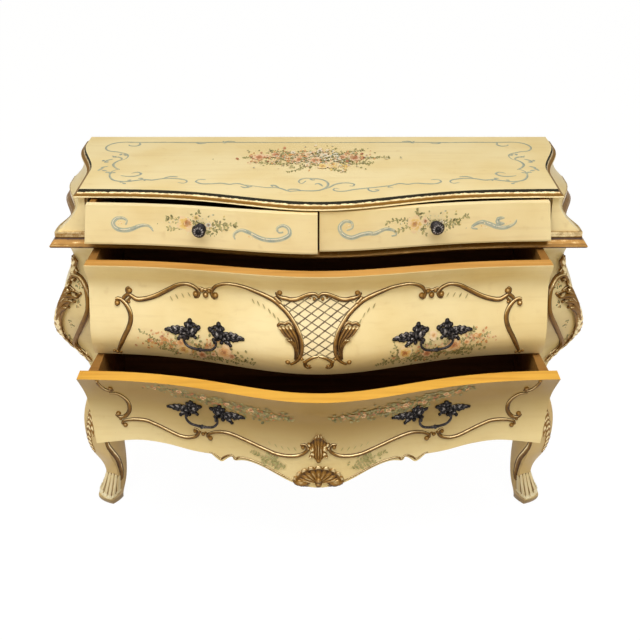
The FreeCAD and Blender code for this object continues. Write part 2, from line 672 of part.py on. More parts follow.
# Carving on the right stile, as distance out from the openings and height above the case's foot
STILE_SCROLL = (
    (64.0, 331.0), (55.0, 332.0), (44.0, 327.0), (35.0, 317.0), (28.0, 301.0), (26.0, 278.0), (29.0, 254.0),
    (38.0, 231.0), (54.0, 201.0), (72.0, 168.0), (86.0, 139.0), (88.0, 122.0), (80.0, 108.0), (65.0, 95.0),
    (53.0, 84.0),
)
STILE_EYE = (67.0, 324.0)
ACANTHUS = (
    (64.0, 374.0), (51.0, 364.0), (58.0, 348.0), (50.0, 342.0), (66.0, 331.0), (75.0, 321.0), (74.0, 308.0),
    (81.0, 295.0), (73.0, 289.0), (84.0, 282.0), (51.0, 290.0), (51.0, 283.0), (72.0, 275.0), (84.0, 268.0),
    (66.0, 272.0), (79.0, 261.0), (85.0, 249.0), (97.0, 233.0), (107.0, 210.0), (112.0, 190.0),
    (114.0, 168.0), (112.0, 143.0), (103.0, 126.0), (88.0, 111.0), (200.0, 111.0), (200.0, 374.0),
)


def on_stile(points):
    """Drawn places on the right stile to model places."""
    return [(STILE_HALF + out, Z_BOTTOM + rise) for out, rise in points]


acanthus_corners = [vec(x, -FAR, z) for x, z in on_stile(ACANTHUS)]
acanthus_face = Part.Face(Part.makePolygon(acanthus_corners + acanthus_corners[:1]))
EYE_RADIUS = 0.85 * SCROLL_WIDTH
stile_eye_x, stile_eye_z = on_stile([STILE_EYE])[0]
stile_cuts = [
    band(on_stile(STILE_SCROLL), SCROLL_WIDTH),
    eye(stile_eye_x, stile_eye_z, EYE_RADIUS),
    thicken(acanthus_face, vec(0.0, 2.0 * FAR, 0.0)),
]
stile_pieces = [shape.common(stile_space) for shape in stile_cuts]
stile_carving = Part.makeCompound(stile_pieces[0].fuse(stile_pieces[1:]).Solids)

# Middle drawer scrolls
MIDDLE_SCROLLS = (
    ((449.0, 11.0), (442.0, 29.0), (422.0, 71.0), (412.0, 99.0), (416.0, 119.0), (429.0, 131.0),
     (443.0, 133.0)),
    ((415.0, 157.0), (408.0, 144.0), (387.0, 139.0), (351.0, 149.0), (317.0, 170.0), (287.0, 180.0),
     (268.0, 171.0), (259.0, 156.0)),
    ((224.0, 160.0), (218.0, 177.0), (191.0, 192.0), (162.0, 184.0), (121.0, 167.0), (84.0, 152.0),
     (58.0, 132.0), (37.0, 104.0), (35.0, 75.0), (46.0, 46.0), (66.0, 33.0)),
)
MIDDLE_EYES = ((443.0, 129.0), (418.0, 157.0), (261.0, 155.0), (241.0, 162.0), (226.0, 160.0), (66.0, 37.0))
middle_space = layer(middle_face, SCROLL_PROUD)
middle_cuts = []
for path in MIDDLE_SCROLLS:
    middle_cuts.append(band(on_middle(path), SCROLL_WIDTH))
for x, z in on_middle(MIDDLE_EYES):
    middle_cuts.append(eye(x, z, EYE_RADIUS))
middle_scrolls = trim(middle_cuts, middle_space)

# Cartouche between the inner scrolls: a crest, a foot arch and a pair of leaves
CREST = ((83.0, 175.0), (65.0, 163.0), (42.0, 170.0), (18.0, 178.0), (-2.0, 177.0))
FOOT_ARCH = ((27.0, 36.0), (14.0, 50.0), (-2.0, 55.0))
LEAF = ((84.0, 122.0), (74.0, 104.0), (61.0, 82.0), (54.0, 60.0))
cartouche_space = layer(middle_face, SHELL_PROUD)
cartouche_cuts = [
    band(on_middle(CREST), SCROLL_WIDTH),
    band(on_middle(FOOT_ARCH), 0.8 * SCROLL_WIDTH),
    band(on_middle(LEAF), LEAF_WIDTH),
]
leaf_room = band(on_middle(MIDDLE_SCROLLS[2]), SCROLL_WIDTH + 2.0 * LEAF_GAP)
cartouche_cuts = [shape.cut(leaf_room) for shape in cartouche_cuts]
middle_cartouche = trim(cartouche_cuts, cartouche_space)

# Bottom drawer scrolls
BOTTOM_SCROLLS = (
    ((477.0, 236.0), (473.0, 214.0), (462.0, 197.0)),
    ((466.0, 187.0), (440.0, 187.0), (424.0, 167.0), (422.0, 147.0), (434.0, 129.0), (450.0, 128.0)),
    ((436.0, 101.0), (410.0, 118.0), (376.0, 115.0), (334.0, 98.0), (302.0, 86.0), (276.0, 92.0)),
    ((239.0, 91.0), (234.0, 104.0), (216.0, 112.0), (182.0, 109.0), (141.0, 94.0), (96.0, 78.0), (59.0, 76.0),
     (31.0, 88.0), (33.0, 105.0)),
)
BOTTOM_EYES = (
    (477.0, 234.0), (450.0, 132.0), (440.0, 103.0), (276.0, 94.0), (257.0, 98.0), (241.0, 93.0),
    (36.0, 106.0),
)
bottom_space = layer(bottom_face, SCROLL_PROUD)
bottom_cuts = []
for path in BOTTOM_SCROLLS:
    bottom_cuts.append(band(on_bottom(path), SCROLL_WIDTH))
for x, z in on_bottom(BOTTOM_EYES):
    bottom_cuts.append(eye(x, z, EYE_RADIUS))
bottom_scrolls = trim(bottom_cuts, bottom_space)

# Shells on the apron, fans of round lobes
UPPER_SHELL = ((0.0, 128.0, 20.0), (0.0, 105.0, 19.0), (0.0, 84.0, 15.0))
LOWER_SHELL = ((0.0, 26.0, 24.0), (22.0, 28.0, 21.0), (40.0, 32.0, 15.0), (0.0, 46.0, 14.0))
shell_space = layer(bottom_face, SHELL_PROUD).cut(below_apron).cut(mirrored(below_apron))


def shell(lobes):
    solids = []
    places = on_bottom([(x, rise) for x, rise, radius in lobes])
    for (x, z), (drawn_x, rise, radius) in zip(places, lobes):
        solids.append(eye(x, z, radius))
        if drawn_x > 0.0:
            solids.append(eye(-x, z, radius))
    return solids[0].fuse(solids[1:]).removeSplitter().common(shell_space)


apron_shells = Part.makeCompound(shell(UPPER_SHELL).Solids + shell(LOWER_SHELL).Solids)


# Handles
def turned(outline, centre, axis):
    """Solid turned about an axis, from radii and places along it."""
    across = axis.cross(vec(0.0, 0.0, 1.0))
    points = [centre + across * radius + axis * place for radius, place in outline]
    return Part.Face(Part.makePolygon(points + points[:1])).revolve(centre, axis, 360.0)


def screw_hole(foot, away):
    """Clearance for a handle's screw, through the face at its foot."""
    start = foot + away * SCREW_DEPTH
    return Part.makeCylinder(SCREW_RADIUS + SCREW_ROOM, 2.0 * SCREW_DEPTH, start, away * -1.0)


def knob(x, z):
    """Turned knob with its screw, square to the face of a frieze drawer, and the hole for it."""
    step = KNOB_RADIUS
    away = vec(frieze_y(x + step, z) - frieze_y(x - step, z), -2.0 * step, 0.0)
    away.normalize()
    foot = vec(x, frieze_y(x, z), z)
    outline = (
        (0.0, -SCREW_DEPTH), (SCREW_RADIUS, -SCREW_DEPTH), (SCREW_RADIUS, SEAT_ROOM),
        (0.8 * KNOB_RADIUS, SEAT_ROOM), (0.8 * KNOB_RADIUS, 0.1 * KNOB_REACH),
        (0.4 * KNOB_RADIUS, 0.25 * KNOB_REACH), (0.42 * KNOB_RADIUS, 0.46 * KNOB_REACH),
        (0.85 * KNOB_RADIUS, 0.58 * KNOB_REACH), (KNOB_RADIUS, 0.75 * KNOB_REACH),
        (0.8 * KNOB_RADIUS, 0.92 * KNOB_REACH), (0.35 * KNOB_RADIUS, KNOB_REACH), (0.0, KNOB_REACH),
    )
    return turned(outline, foot, away), screw_hole(foot, away)


KNOB_X = KNOB_PLACE * STILE_HALF
KNOB_Z = (FRIEZE_FRONT_FOOT + FRIEZE_FRONT_TOP) / 2.0
frieze_knob, knob_hole = knob(KNOB_X, KNOB_Z)
frieze_front = frieze_front.cut(knob_hole)

# Outline of a cast foliate plate round its post, outwards and upwards
PLATE_OUTLINE = (
    (0.0, -11.0), (9.0, -7.0), (20.0, -11.0), (24.0, -4.0), (34.0, -7.0), (38.0, 2.0), (53.0, 4.0),
    (42.0, 11.0), (34.0, 11.0), (28.0, 18.0), (19.0, 17.0), (12.0, 26.0), (4.0, 26.0), (-3.0, 34.0),
    (-8.0, 26.0), (-14.0, 23.0), (-16.0, 17.0), (-26.0, 20.0), (-19.0, 10.0), (-17.0, -3.0), (-8.0, -4.0),
)


def rosette(foot, level, along, outer, turn, space):
    """Foliate plate on a post with an eye for the bail and a screw into the front, and the hole for it."""
    cos = math.cos(math.radians(turn))
    sin = math.sin(math.radians(turn))
    corners = []
    for outwards, upwards in PLATE_OUTLINE:
        x = foot.x + outer * (outwards * cos - upwards * sin)
        corners.append(vec(x, -FAR, foot.z + outwards * sin + upwards * cos))
    wall = thicken(Part.Face(Part.makePolygon(corners + corners[:1])), vec(0.0, 2.0 * FAR, 0.0))
    solids = [wall.common(space)]
    pivot = foot + level * POST_REACH
    post_foot = foot + level * (PLATE_THICK / 2.0)
    eye_end = pivot - along * (EYE_LENGTH / 2.0)
    screw_head = foot + level * POST_RADIUS
    bore_end = pivot - along * (2.0 * EYE_LENGTH)
    solids.append(Part.makeCylinder(0.7 * POST_RADIUS, POST_REACH - PLATE_THICK / 2.0, post_foot, level))
    solids.append(Part.makeCylinder(POST_RADIUS, EYE_LENGTH, eye_end, along))
    solids.append(Part.makeCylinder(SCREW_RADIUS, SCREW_DEPTH + POST_RADIUS, screw_head, level * -1.0))
    bore = Part.makeCylinder(BAIL_RADIUS + EYE_ROOM, 4.0 * EYE_LENGTH, bore_end, along)
    return solids[0].fuse(solids[1:]).cut(bore), screw_hole(foot, level), pivot


def pull(x, z, space):
    """Two rosettes and a bail on the right half of a front, with its hinge's place and direction."""
    feet = []
    for foot_x in (x - PULL_SPAN / 2.0, x + PULL_SPAN / 2.0):
        feet.append(vec(foot_x, front_y(foot_x, z), z))
    along = feet[1] - feet[0]
    along.normalize()
    level = along.cross(vec(0.0, 0.0, 1.0))
    inner, inner_hole, inner_pivot = rosette(feet[0], level, along, -1.0, INNER_PLATE_TURN, space)
    outer, outer_hole, outer_pivot = rosette(feet[1], level, along, 1.0, 0.0, space)
    centre = (inner_pivot + outer_pivot) * 0.5
    rod = bail(centre, outer_pivot - inner_pivot)
    return [inner, outer], [inner_hole, outer_hole], rod, centre, along


def rounded_path(points, radii):
    """Wire of straight runs joined by arcs, with a radius for each corner."""
    edges = []
    start = points[0]
    for before, corner, after, radius in zip(points, points[1:], points[2:], radii):
        back = before - corner
        ahead = after - corner
        back.normalize()
        ahead.normalize()
        half_angle = back.getAngle(ahead) / 2.0
        bisector = back + ahead
        bisector.normalize()
        reach = radius / math.tan(half_angle)
        centre = corner + bisector * (radius / math.sin(half_angle))
        enter = corner + back * reach
        leave = corner + ahead * reach
        edges.append(line(start, enter))
        edges.append(Part.Arc(enter, centre - bisector * radius, leave).toShape())
        start = leave
    edges.append(line(start, points[-1]))
    return Part.Wire(edges)


def bail(centre, way):
    """Drop handle hung between two posts: a bent rod with a knop at the middle."""
    span = way.Length
    way = way * (1.0 / span)
    pin = way * (span / 2.0 + POST_RADIUS)
    shoulder = way * (span / 2.0 - EYE_LENGTH / 2.0 - BAIL_SHOULDER - BAIL_RADIUS / 2.0)
    low = shoulder * BAIL_TAPER
    drop = vec(0.0, 0.0, -BAIL_DROP)
    points = [
        centre - pin, centre - shoulder, centre - low + drop,
        centre + low + drop, centre + shoulder, centre + pin,
    ]
    section = Part.Face(Part.Wire(Part.Circle(points[0], way, BAIL_RADIUS).toShape()))
    bends = (BAIL_SHOULDER, BAIL_BEND, BAIL_BEND, BAIL_SHOULDER)
    rod = rounded_path(points, bends).makePipe(section)
    knop = ((0.0, -KNOP_HALF), (0.6 * BAIL_RADIUS, -KNOP_HALF), (2.0 * BAIL_RADIUS, -0.3 * KNOP_HALF),
            (2.0 * BAIL_RADIUS, 0.3 * KNOP_HALF), (0.6 * BAIL_RADIUS, KNOP_HALF), (0.0, KNOP_HALF))
    return rod.fuse(turned(knop, centre + drop, way))


def pull_pair(z, front, face):
    """Pulls on both halves of a front, and the front with their screw holes."""
    rosettes, holes, right_bail, centre, way = pull(PULL_PLACE * STILE_HALF, z, layer(face, PLATE_THICK))
    for hole in holes:
        front = front.cut(hole).cut(mirrored(hole))
    plates = Part.makeCompound(rosettes)
    return front, plates, mirrored(plates), right_bail, mirrored(right_bail), centre, way


MIDDLE_PULL_Z = MIDDLE_FOOT + MIDDLE_PULL_RISE * (MIDDLE_TOP - MIDDLE_FOOT)
BOTTOM_PULL_Z = APRON_FOOT + BOTTOM_PULL_RISE * (BOTTOM_TOP - APRON_FOOT)
(middle_front, middle_right_rosettes, middle_left_rosettes, middle_right_bail, middle_left_bail,
 MIDDLE_PIVOT, MIDDLE_PIVOT_WAY) = pull_pair(MIDDLE_PULL_Z, middle_front, middle_face)
(bottom_front, bottom_right_rosettes, bottom_left_rosettes, bottom_right_bail, bottom_left_bail,
 BOTTOM_PIVOT, BOTTOM_PIVOT_WAY) = pull_pair(BOTTOM_PULL_Z, bottom_front, bottom_face)

# The drawers stand open, and the middle of the whole footprint is the origin
FRONT_MOST = front_y(0.0, BOTTOM_TOP) - BOTTOM_OPEN
Y_CENTRE = (FRONT_MOST + TOP_BACK) / 2.0

CARCASS = {
    "top_board": top_board,
    "frieze_end_left": mirrored(frieze_end),
    "frieze_end_right": frieze_end,
    "frieze_bead_left": mirrored(frieze_bead),
    "frieze_bead_right": frieze_bead,
    "waist_moulding": waist_moulding,
    "waist_board": waist_board,
    "frieze_divider": frieze_divider,
    "middle_board": middle_board,
    "bottom_board": bottom_board,
    "bombe_side_left": mirrored(bombe_side),
    "bombe_side_right": bombe_side,
    "corner_stile_left": mirrored(corner_stile),
    "corner_stile_right": corner_stile,
    "stile_carving_left": mirrored(stile_carving),
    "stile_carving_right": stile_carving,
    "front_leg_left": mirrored(front_leg),
    "front_leg_right": front_leg,
    "back_leg_left": mirrored(back_leg),
    "back_leg_right": back_leg,
    "back_panel": back_panel,
    "drawer_guides": drawer_guides,
}
LEFT_DRAWER = {
    "left_drawer_front": mirrored(frieze_front),
    "left_drawer_sides": mirrored(frieze_sides),
    "left_drawer_back": mirrored(frieze_back),
    "left_drawer_bottom": mirrored(frieze_bottom),
    "left_drawer_knob": mirrored(frieze_knob),
}
RIGHT_DRAWER = {
    "right_drawer_front": frieze_front,
    "right_drawer_sides": frieze_sides,
    "right_drawer_back": frieze_back,
    "right_drawer_bottom": frieze_bottom,
    "right_drawer_knob": frieze_knob,
}
MIDDLE_DRAWER = {
    "middle_drawer_front": middle_front,
    "middle_drawer_sides": middle_sides,
    "middle_drawer_back": middle_back,
    "middle_drawer_bottom": middle_bottom,
    "middle_drawer_scrolls": middle_scrolls,
    "middle_drawer_cartouche": middle_cartouche,
    "middle_left_rosettes": middle_left_rosettes,
    "middle_right_rosettes": middle_right_rosettes,
    "middle_left_bail": middle_left_bail,
    "middle_right_bail": middle_right_bail,
}
BOTTOM_DRAWER = {
    "bottom_drawer_front": bottom_front,
    "bottom_drawer_sides": bottom_sides,
    "bottom_drawer_back": bottom_back,
    "bottom_drawer_bottom": bottom_bottom,
    "bottom_drawer_scrolls": bottom_scrolls,
    "bottom_drawer_shells": apron_shells,
    "bottom_left_rosettes": bottom_left_rosettes,
    "bottom_right_rosettes": bottom_right_rosettes,
    "bottom_left_bail": bottom_left_bail,
    "bottom_right_bail": bottom_right_bail,
}
GROUPS = (
    (CARCASS, 0.0),
    (LEFT_DRAWER, LEFT_OPEN),
    (RIGHT_DRAWER, RIGHT_OPEN),
    (MIDDLE_DRAWER, MIDDLE_OPEN),
    (BOTTOM_DRAWER, BOTTOM_OPEN),
)

os.makedirs("parts", exist_ok=True)
for pieces, opened in GROUPS:
    for node, shape in pieces.items():
        placed = shape.translated(vec(0.0, -opened - Y_CENTRE, 0.0))
        placed.exportStep("parts/" + node + ".step")
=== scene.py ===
import json
import math
import random

import bpy
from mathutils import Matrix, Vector
from mathutils.bvhtree import BVHTree


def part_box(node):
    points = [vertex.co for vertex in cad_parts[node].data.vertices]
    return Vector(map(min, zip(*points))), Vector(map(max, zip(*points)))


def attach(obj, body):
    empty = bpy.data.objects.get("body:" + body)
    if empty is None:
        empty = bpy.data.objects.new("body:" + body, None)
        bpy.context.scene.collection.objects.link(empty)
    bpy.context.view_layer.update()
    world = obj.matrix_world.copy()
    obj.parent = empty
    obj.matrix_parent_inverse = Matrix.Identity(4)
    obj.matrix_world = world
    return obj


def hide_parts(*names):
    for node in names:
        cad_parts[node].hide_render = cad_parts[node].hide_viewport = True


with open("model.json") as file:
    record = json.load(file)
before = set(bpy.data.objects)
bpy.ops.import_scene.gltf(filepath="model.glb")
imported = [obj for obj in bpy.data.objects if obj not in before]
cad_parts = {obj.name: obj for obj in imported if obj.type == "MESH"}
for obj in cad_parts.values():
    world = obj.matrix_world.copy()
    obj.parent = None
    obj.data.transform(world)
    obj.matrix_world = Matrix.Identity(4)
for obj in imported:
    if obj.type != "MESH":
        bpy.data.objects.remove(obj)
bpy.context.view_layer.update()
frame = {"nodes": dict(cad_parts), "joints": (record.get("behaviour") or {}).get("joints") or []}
nodes = frame["nodes"]


# Painted case
# Bombe sides, canted corner stiles and coved frieze ends are thick boards, glued and mitred.
# They carry brushed ivory paint that a thin brown glaze has mellowed in clouds and streaks.
class Wire:
    """A socket of a finish. Sums written on it add Math nodes, and node() adds a node of any kind."""

    def __init__(self, tree, socket):
        self.tree = tree
        self.socket = socket

    def node(self, kind, settings=None, inputs=None, output=0):
        made = self.tree.nodes.new(kind)
        for name, value in (settings or {}).items():
            setattr(made, name, value)
        self.plug(made, inputs or {})
        return Wire(self.tree, made.outputs[output])

    def plug(self, made, inputs):
        for name, value in inputs.items():
            if isinstance(value, Wire):
                self.tree.links.new(value.socket, made.inputs[name])
            else:
                made.inputs[name].default_value = value

    def sum(self, operation, first, second):
        return self.node("ShaderNodeMath", {"operation": operation}, {0: first, 1: second})

    def __add__(self, other):
        return self.sum("ADD", self, other)

    def __sub__(self, other):
        return self.sum("SUBTRACT", self, other)

    def __rsub__(self, other):
        return self.sum("SUBTRACT", other, self)

    def __mul__(self, other):
        return self.sum("MULTIPLY", self, other)

    __radd__ = __add__
    __rmul__ = __mul__


def srgb(red, green, blue):
    """A colour as it is seen, 0 to 255, in the light values that shaders take."""
    return tuple(((c / 255.0 + 0.055) / 1.055) ** 2.4 for c in (red, green, blue)) + (1.0,)


def noise(place, scale, detail):
    return place.node("ShaderNodeTexNoise", None, {"Vector": place, "Scale": scale, "Detail": detail})


def stretch(place, x, y, z):
    return place.node("ShaderNodeVectorMath", {"operation": "MULTIPLY"}, {0: place, 1: (x, y, z)})


def fade(value, start, end):
    """0 up to start, 1 from end, and smooth between."""
    return value.node("ShaderNodeMapRange", {"interpolation_type": "SMOOTHSTEP"},
                      {"Value": value, "From Min": start, "From Max": end})


def mix(share, first, second):
    return share.node("ShaderNodeMix", {"data_type": "RGBA"}, {0: share, 6: first, 7: second}, 2)


def along(vector, name):
    return vector.node("ShaderNodeSeparateXYZ", None, {0: vector}, name)


def bump(height, strength, depth):
    inputs = {"Height": height, "Strength": strength, "Distance": depth}
    return height.node("ShaderNodeBump", None, inputs, "Normal")


def new_finish(name, look):
    """A finish whose colour, roughness, relief and, where it has any, metal share come from look(place)."""
    finish = bpy.data.materials.new(name)
    finish.use_nodes = True
    tree = finish.node_tree
    place = Wire(tree, tree.nodes.new("ShaderNodeTexCoord").outputs["Object"])
    inputs = zip(("Base Color", "Roughness", "Normal", "Metallic"), look(place))
    place.plug(tree.nodes["Principled BSDF"], dict(inputs))
    return finish


def both(*names):
    return [name + side for name in names for side in ("_right", "_left")]


def dress(finish, *names):
    """Give CAD nodes their finish."""
    for name in names:
        nodes[name].data.materials.clear()
        nodes[name].data.materials.append(finish)


IVORY = srgb(243, 225, 176)
IVORY_DEEP = srgb(236, 213, 156)
GLAZE = srgb(196, 160, 98)
SPECK = srgb(120, 88, 48)


def ivory(place):
    """Colour, roughness and relief of the aged ivory paint."""
    clouds = noise(place, 6.0, 5.0)
    brushed = noise(stretch(place, 5.0, 70.0, 90.0), 1.0, 5.0)
    rubbed = noise(place, 34.0, 6.0)
    specks = noise(place, 330.0, 2.0)
    colour = mix(fade(clouds, 0.34, 0.7), IVORY, IVORY_DEEP)
    colour = mix(fade(brushed, 0.46, 0.8) * 0.16, colour, GLAZE)
    colour = mix(fade(rubbed, 0.6, 0.8) * 0.22, colour, GLAZE)
    colour = mix(fade(specks, 0.74, 0.8) * 0.3, colour, SPECK)
    rough = 0.3 + 0.18 * rubbed
    return colour, rough, bump(0.7 * brushed + 0.3 * specks, 0.16, 0.0006)


dress(new_finish("ivory paint", ivory), *both("bombe_side", "corner_stile", "frieze_end"))


# Inner boards
# Dust boards, the frieze divider, runners and the back panel are bare softwood stained dark brown.
# They are sawn and planed, so the grain runs along the board and shows as fine streaks.
STAIN = srgb(136, 90, 48)
STAIN_DARK = srgb(100, 62, 30)


def stained(place):
    """Colour, roughness and relief of brown-stained softwood."""
    streaks = noise(stretch(place, 4.0, 70.0, 70.0), 1.0, 7.0)
    figure = noise(stretch(place, 1.5, 14.0, 14.0), 1.0, 4.0)
    colour = mix(fade(0.6 * streaks + 0.4 * figure, 0.35, 0.66), STAIN_DARK, STAIN)
    return colour, 0.55 + 0.25 * streaks, bump(streaks, 0.2, 0.0006)


stained_finish = new_finish("stained softwood", stained)
dress(stained_finish, "waist_board", "frieze_divider", "middle_board", "bottom_board", "drawer_guides",
      "back_panel")


# Gilt mouldings
# The waist nose and the rail at the foot of the frieze are moulded strips, mitred round the case.
# They are gilded over brown ground, bright where hands rub and dark where old glaze has gathered.
GILT_DEEP = srgb(62, 33, 7)
GILT = srgb(146, 104, 38)
GILT_BRIGHT = srgb(252, 230, 178)


def gilding(place, crest):
    """Colour, roughness, relief and metal share of worn gilding; crest is 0 in the hollows and 1 on top, and
    on carved pieces it also carries their painted highlight and shade.
    """
    worn = noise(place, 85.0, 6.0)
    grains = noise(place, 420.0, 3.0)
    height = crest + 0.5 * (worn - 0.5) + 0.25 * (grains - 0.5)
    colour = mix(fade(height, 0.05, 0.5), GILT_DEEP, GILT)
    colour = mix(fade(height, 0.62, 1.05), colour, GILT_BRIGHT)
    shine = fade(height, 0.2, 0.8)
    return colour, 0.56 - 0.22 * shine, bump(worn + grains, 0.25, 0.0006), 0.15 + 0.4 * shine


def gilt_finish(name, crest_of):
    return new_finish(name, lambda place: gilding(place, crest_of(place)))


WAIST_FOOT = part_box("waist_moulding")[0].z
RAIL_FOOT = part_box("frieze_bead_left")[0].z


def waist_crest(place):
    """Bright on the waist's nose and on the frieze rail, dark in the hollow between them."""
    height = along(place, "Z")
    streaks = 0.7 * (noise(stretch(place, 9.0, 9.0, 420.0), 1.0, 3.0) - 0.5)
    nose = 0.22 + 0.36 * fade(height, WAIST_FOOT, WAIST_FOOT + 0.006)
    hollow = 0.5 * fade(height, RAIL_FOOT - 0.004, RAIL_FOOT - 0.001)
    return streaks + nose - hollow + 0.72 * fade(height, RAIL_FOOT + 0.0005, RAIL_FOOT + 0.003)


dress(gilt_finish("gilt waist", waist_crest), "waist_moulding", *both("frieze_bead"))


# Top board
# A serpentine board with an ogee edge: gilt hollow, dark worn line along the arris, pale bead below.
# The field is ivory with a blue-grey scroll border and a long bouquet, painted freehand.
TOP_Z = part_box("top_board")[1].z
ARRIS = srgb(30, 27, 10)
EDGE_BEAD = srgb(252, 234, 186)


def facing(place, axis, start, end):
    """0 where the surface faces away from an axis, 1 where it faces along it."""
    return fade(along(place.node("ShaderNodeNewGeometry", None, None, "True Normal"), axis), start, end)


def painted_top(place):
    """Ivory field; on the edge a ragged dark arris, a gilt hollow and a pale bead."""
    colour, rough, relief = ivory(place)
    height = along(place, "Z")
    ragged = 0.0022 * noise(place, 120.0, 4.0)
    edge = 1.0 - facing(place, "Z", 0.9, 0.97)
    gilt = gilding(place, 0.54 + 0.4 * fade(height, TOP_Z - 0.01, TOP_Z - 0.006))[0]
    in_hollow = edge * fade(height + ragged, TOP_Z - 0.0122, TOP_Z - 0.0112)
    on_arris = edge * fade(height + 2.2 * ragged, TOP_Z - 0.0038, TOP_Z - 0.0022)
    colour = mix(in_hollow, mix(edge, colour, EDGE_BEAD), gilt)
    return mix(on_arris, colour, ARRIS), rough + 0.5 * on_arris, relief, 0.4 * (in_hollow - on_arris)


dress(new_finish("painted top", painted_top), "top_board")


def smooth(path, gap):
    """Points about one gap apart on a smooth curve through a path."""
    ends = [path[0]] + list(path) + [path[-1]]
    line = []
    for before, start, end, after in zip(ends, ends[1:], ends[2:], ends[3:]):
        steps = max(1, round(math.dist(start, end) / gap))
        for i in range(steps):
            t = i / steps
            weights = (-t + 2 * t * t - t ** 3, 2 - 5 * t * t + 3 * t ** 3,
                       t + 4 * t * t - 3 * t ** 3, t ** 3 - t * t)
            near = (before, start, end, after)
            line.append(tuple(0.5 * sum(w * p[k] for w, p in zip(weights, near)) for k in (0, 1)))
    return line + [tuple(path[-1])]


def walk(path, gap):
    """Steps along a smooth path: the share of the way done, the point and the direction there."""
    line = smooth(path, gap)
    last = len(line) - 1
    for i, (x, y) in enumerate(line):
        (x0, y0), (x1, y1) = line[max(0, i - 1)], line[min(last, i + 1)]
        length = math.hypot(x1 - x0, y1 - y0) or 1.0
        yield i / last, x, y, (x1 - x0) / length, (y1 - y0) / length


class Drawing:
    """Carving or paint drawn flat in mm: points across, up and out from a board, each with its tone."""

    FIRST_LIFT = 0.3
    NEXT_LIFT = 0.0015

    def __init__(self, seed=0):
        self.points = []
        self.tones = []
        self.faces = []
        self.lift = self.FIRST_LIFT
        self.chance = random.Random(seed)

    def skin(self, rows):
        """Faces over rows of (across, up, out, tone)."""
        first = len(self.points)
        width = len(rows[0])
        for row in rows:
            for across, up, out, tone in row:
                self.points.append((across, up, out))
                self.tones.append(tone)
        for i in range(len(rows) - 1):
            for j in range(width - 1):
                a = first + i * width + j
                self.faces.append((a, a + 1, a + 1 + width, a + width))

    def twin(self):
        """The same drawing with left and right changed over."""
        other = Drawing()
        other.points = [(-x, y, out) for x, y, out in self.points]
        other.tones = self.tones
        other.faces = [face[::-1] for face in self.faces]
        return other

    def put_up(self, name, board, body, finish, slot, instead=None):
        """Lay the drawing on a board as a piece that moves with a body, instead of a CAD node if named."""
        mesh = bpy.data.meshes.new(name)
        mesh.from_pydata([board(*point) for point in self.points], [], self.faces)
        tones = mesh.color_attributes.new("tone", "FLOAT_COLOR", "POINT")
        for item, tone in zip(tones.data, self.tones):
            item.color = tone
        for face in mesh.polygons:
            face.use_smooth = True
        mesh.materials.append(finish)
        piece = bpy.data.objects.new(name, mesh)
        bpy.context.scene.collection.objects.link(piece)
        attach(piece, body)
        if instead:
            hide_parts(instead)

    def pair_up(self, name, boards, body, finish, slot, instead=None):
        """Lay the drawing on a right-hand board and its twin on a left-hand one."""
        self.put_up(name + "_right", boards[0], body, finish, slot, instead)
        self.twin().put_up(name + "_left", boards[1], body, finish, slot)

    def across(self, x, y, way_x, way_y, half, tone):
        """A row of three points across a brush mark."""
        return [(x - way_y * s * half, y + way_x * s * half, self.lift, tone) for s in (1, 0, -1)]

    def stroke(self, path, width, tone):
        """One pull of a pointed brush."""
        self.lift += self.NEXT_LIFT
        rows = []
        for share, x, y, way_x, way_y in walk(path, 4.0):
            half = width * (0.12 + 0.38 * math.sin(math.pi * share) ** 0.7)
            rows.append(self.across(x, y, way_x, way_y, half, tone))
        self.skin(rows)

    def petal(self, x, y, way, length, width, tone, tip):
        """A dab that starts at a point and swells towards its tip."""
        self.lift += self.NEXT_LIFT
        way_x = math.cos(way)
        way_y = math.sin(way)
        rows = []
        for share in (0.0, 0.2, 0.45, 0.75, 1.0):
            half = 0.5 * width * (math.sin(math.pi * share ** 1.1) ** 0.8 + 0.06)
            shade = tuple(a + (b - a) * share for a, b in zip(tone, tip))
            px = x + way_x * length * share
            py = y + way_y * length * share
            rows.append(self.across(px, py, way_x, way_y, half, shade))
        self.skin(rows)

    def rose(self, x, y, size, outer, inner):
        """A painted flower: a ring of petals, a smaller ring and a heart."""
        start = self.chance.uniform(0.0, 6.28)
        rings = ((0, 7, 1.0, outer, BLUSH), (1, 6, 0.72, inner, outer), (2, 4, 0.4, HEART, inner))
        for ring, count, length, tone, tip in rings:
            for i in range(count):
                way = start + ring * 0.5 + i * math.tau / count + self.chance.uniform(-0.25, 0.25)
                reach = size * length * self.chance.uniform(0.7, 1.15)
                self.petal(x, y, way, reach, 0.8 * reach, tone, tip)

    def sprig(self, path, leaf, tones):
        """A fine stem with small leaves to both sides."""
        self.stroke(path, 0.14 * leaf, tones[0])
        for _, x, y, way_x, way_y in list(walk(path, 0.75 * leaf))[1:]:
            way = math.atan2(way_y, way_x)
            for side in (1, -1):
                size = leaf * self.chance.uniform(0.4, 1.1)
                turn = side * self.chance.uniform(0.4, 1.2)
                first = self.chance.choice(tones)
                self.petal(x, y, way + turn, size, 0.5 * size, first, self.chance.choice(tones))

    def spray(self, x, y, wide, tall, count, size, tones):
        """Loose dabs of leaf and blossom, thick at a place and thin round it."""
        for _ in range(count):
            px = x + 0.5 * wide * self.chance.gauss(0.0, 0.5)
            py = y + 0.5 * tall * self.chance.gauss(0.0, 0.5)
            reach = size * self.chance.uniform(0.45, 1.1)
            way = self.chance.uniform(0.0, math.tau)
            first = self.chance.choice(tones)
            self.petal(px, py, way, reach, 0.62 * reach, first, self.chance.choice(tones))


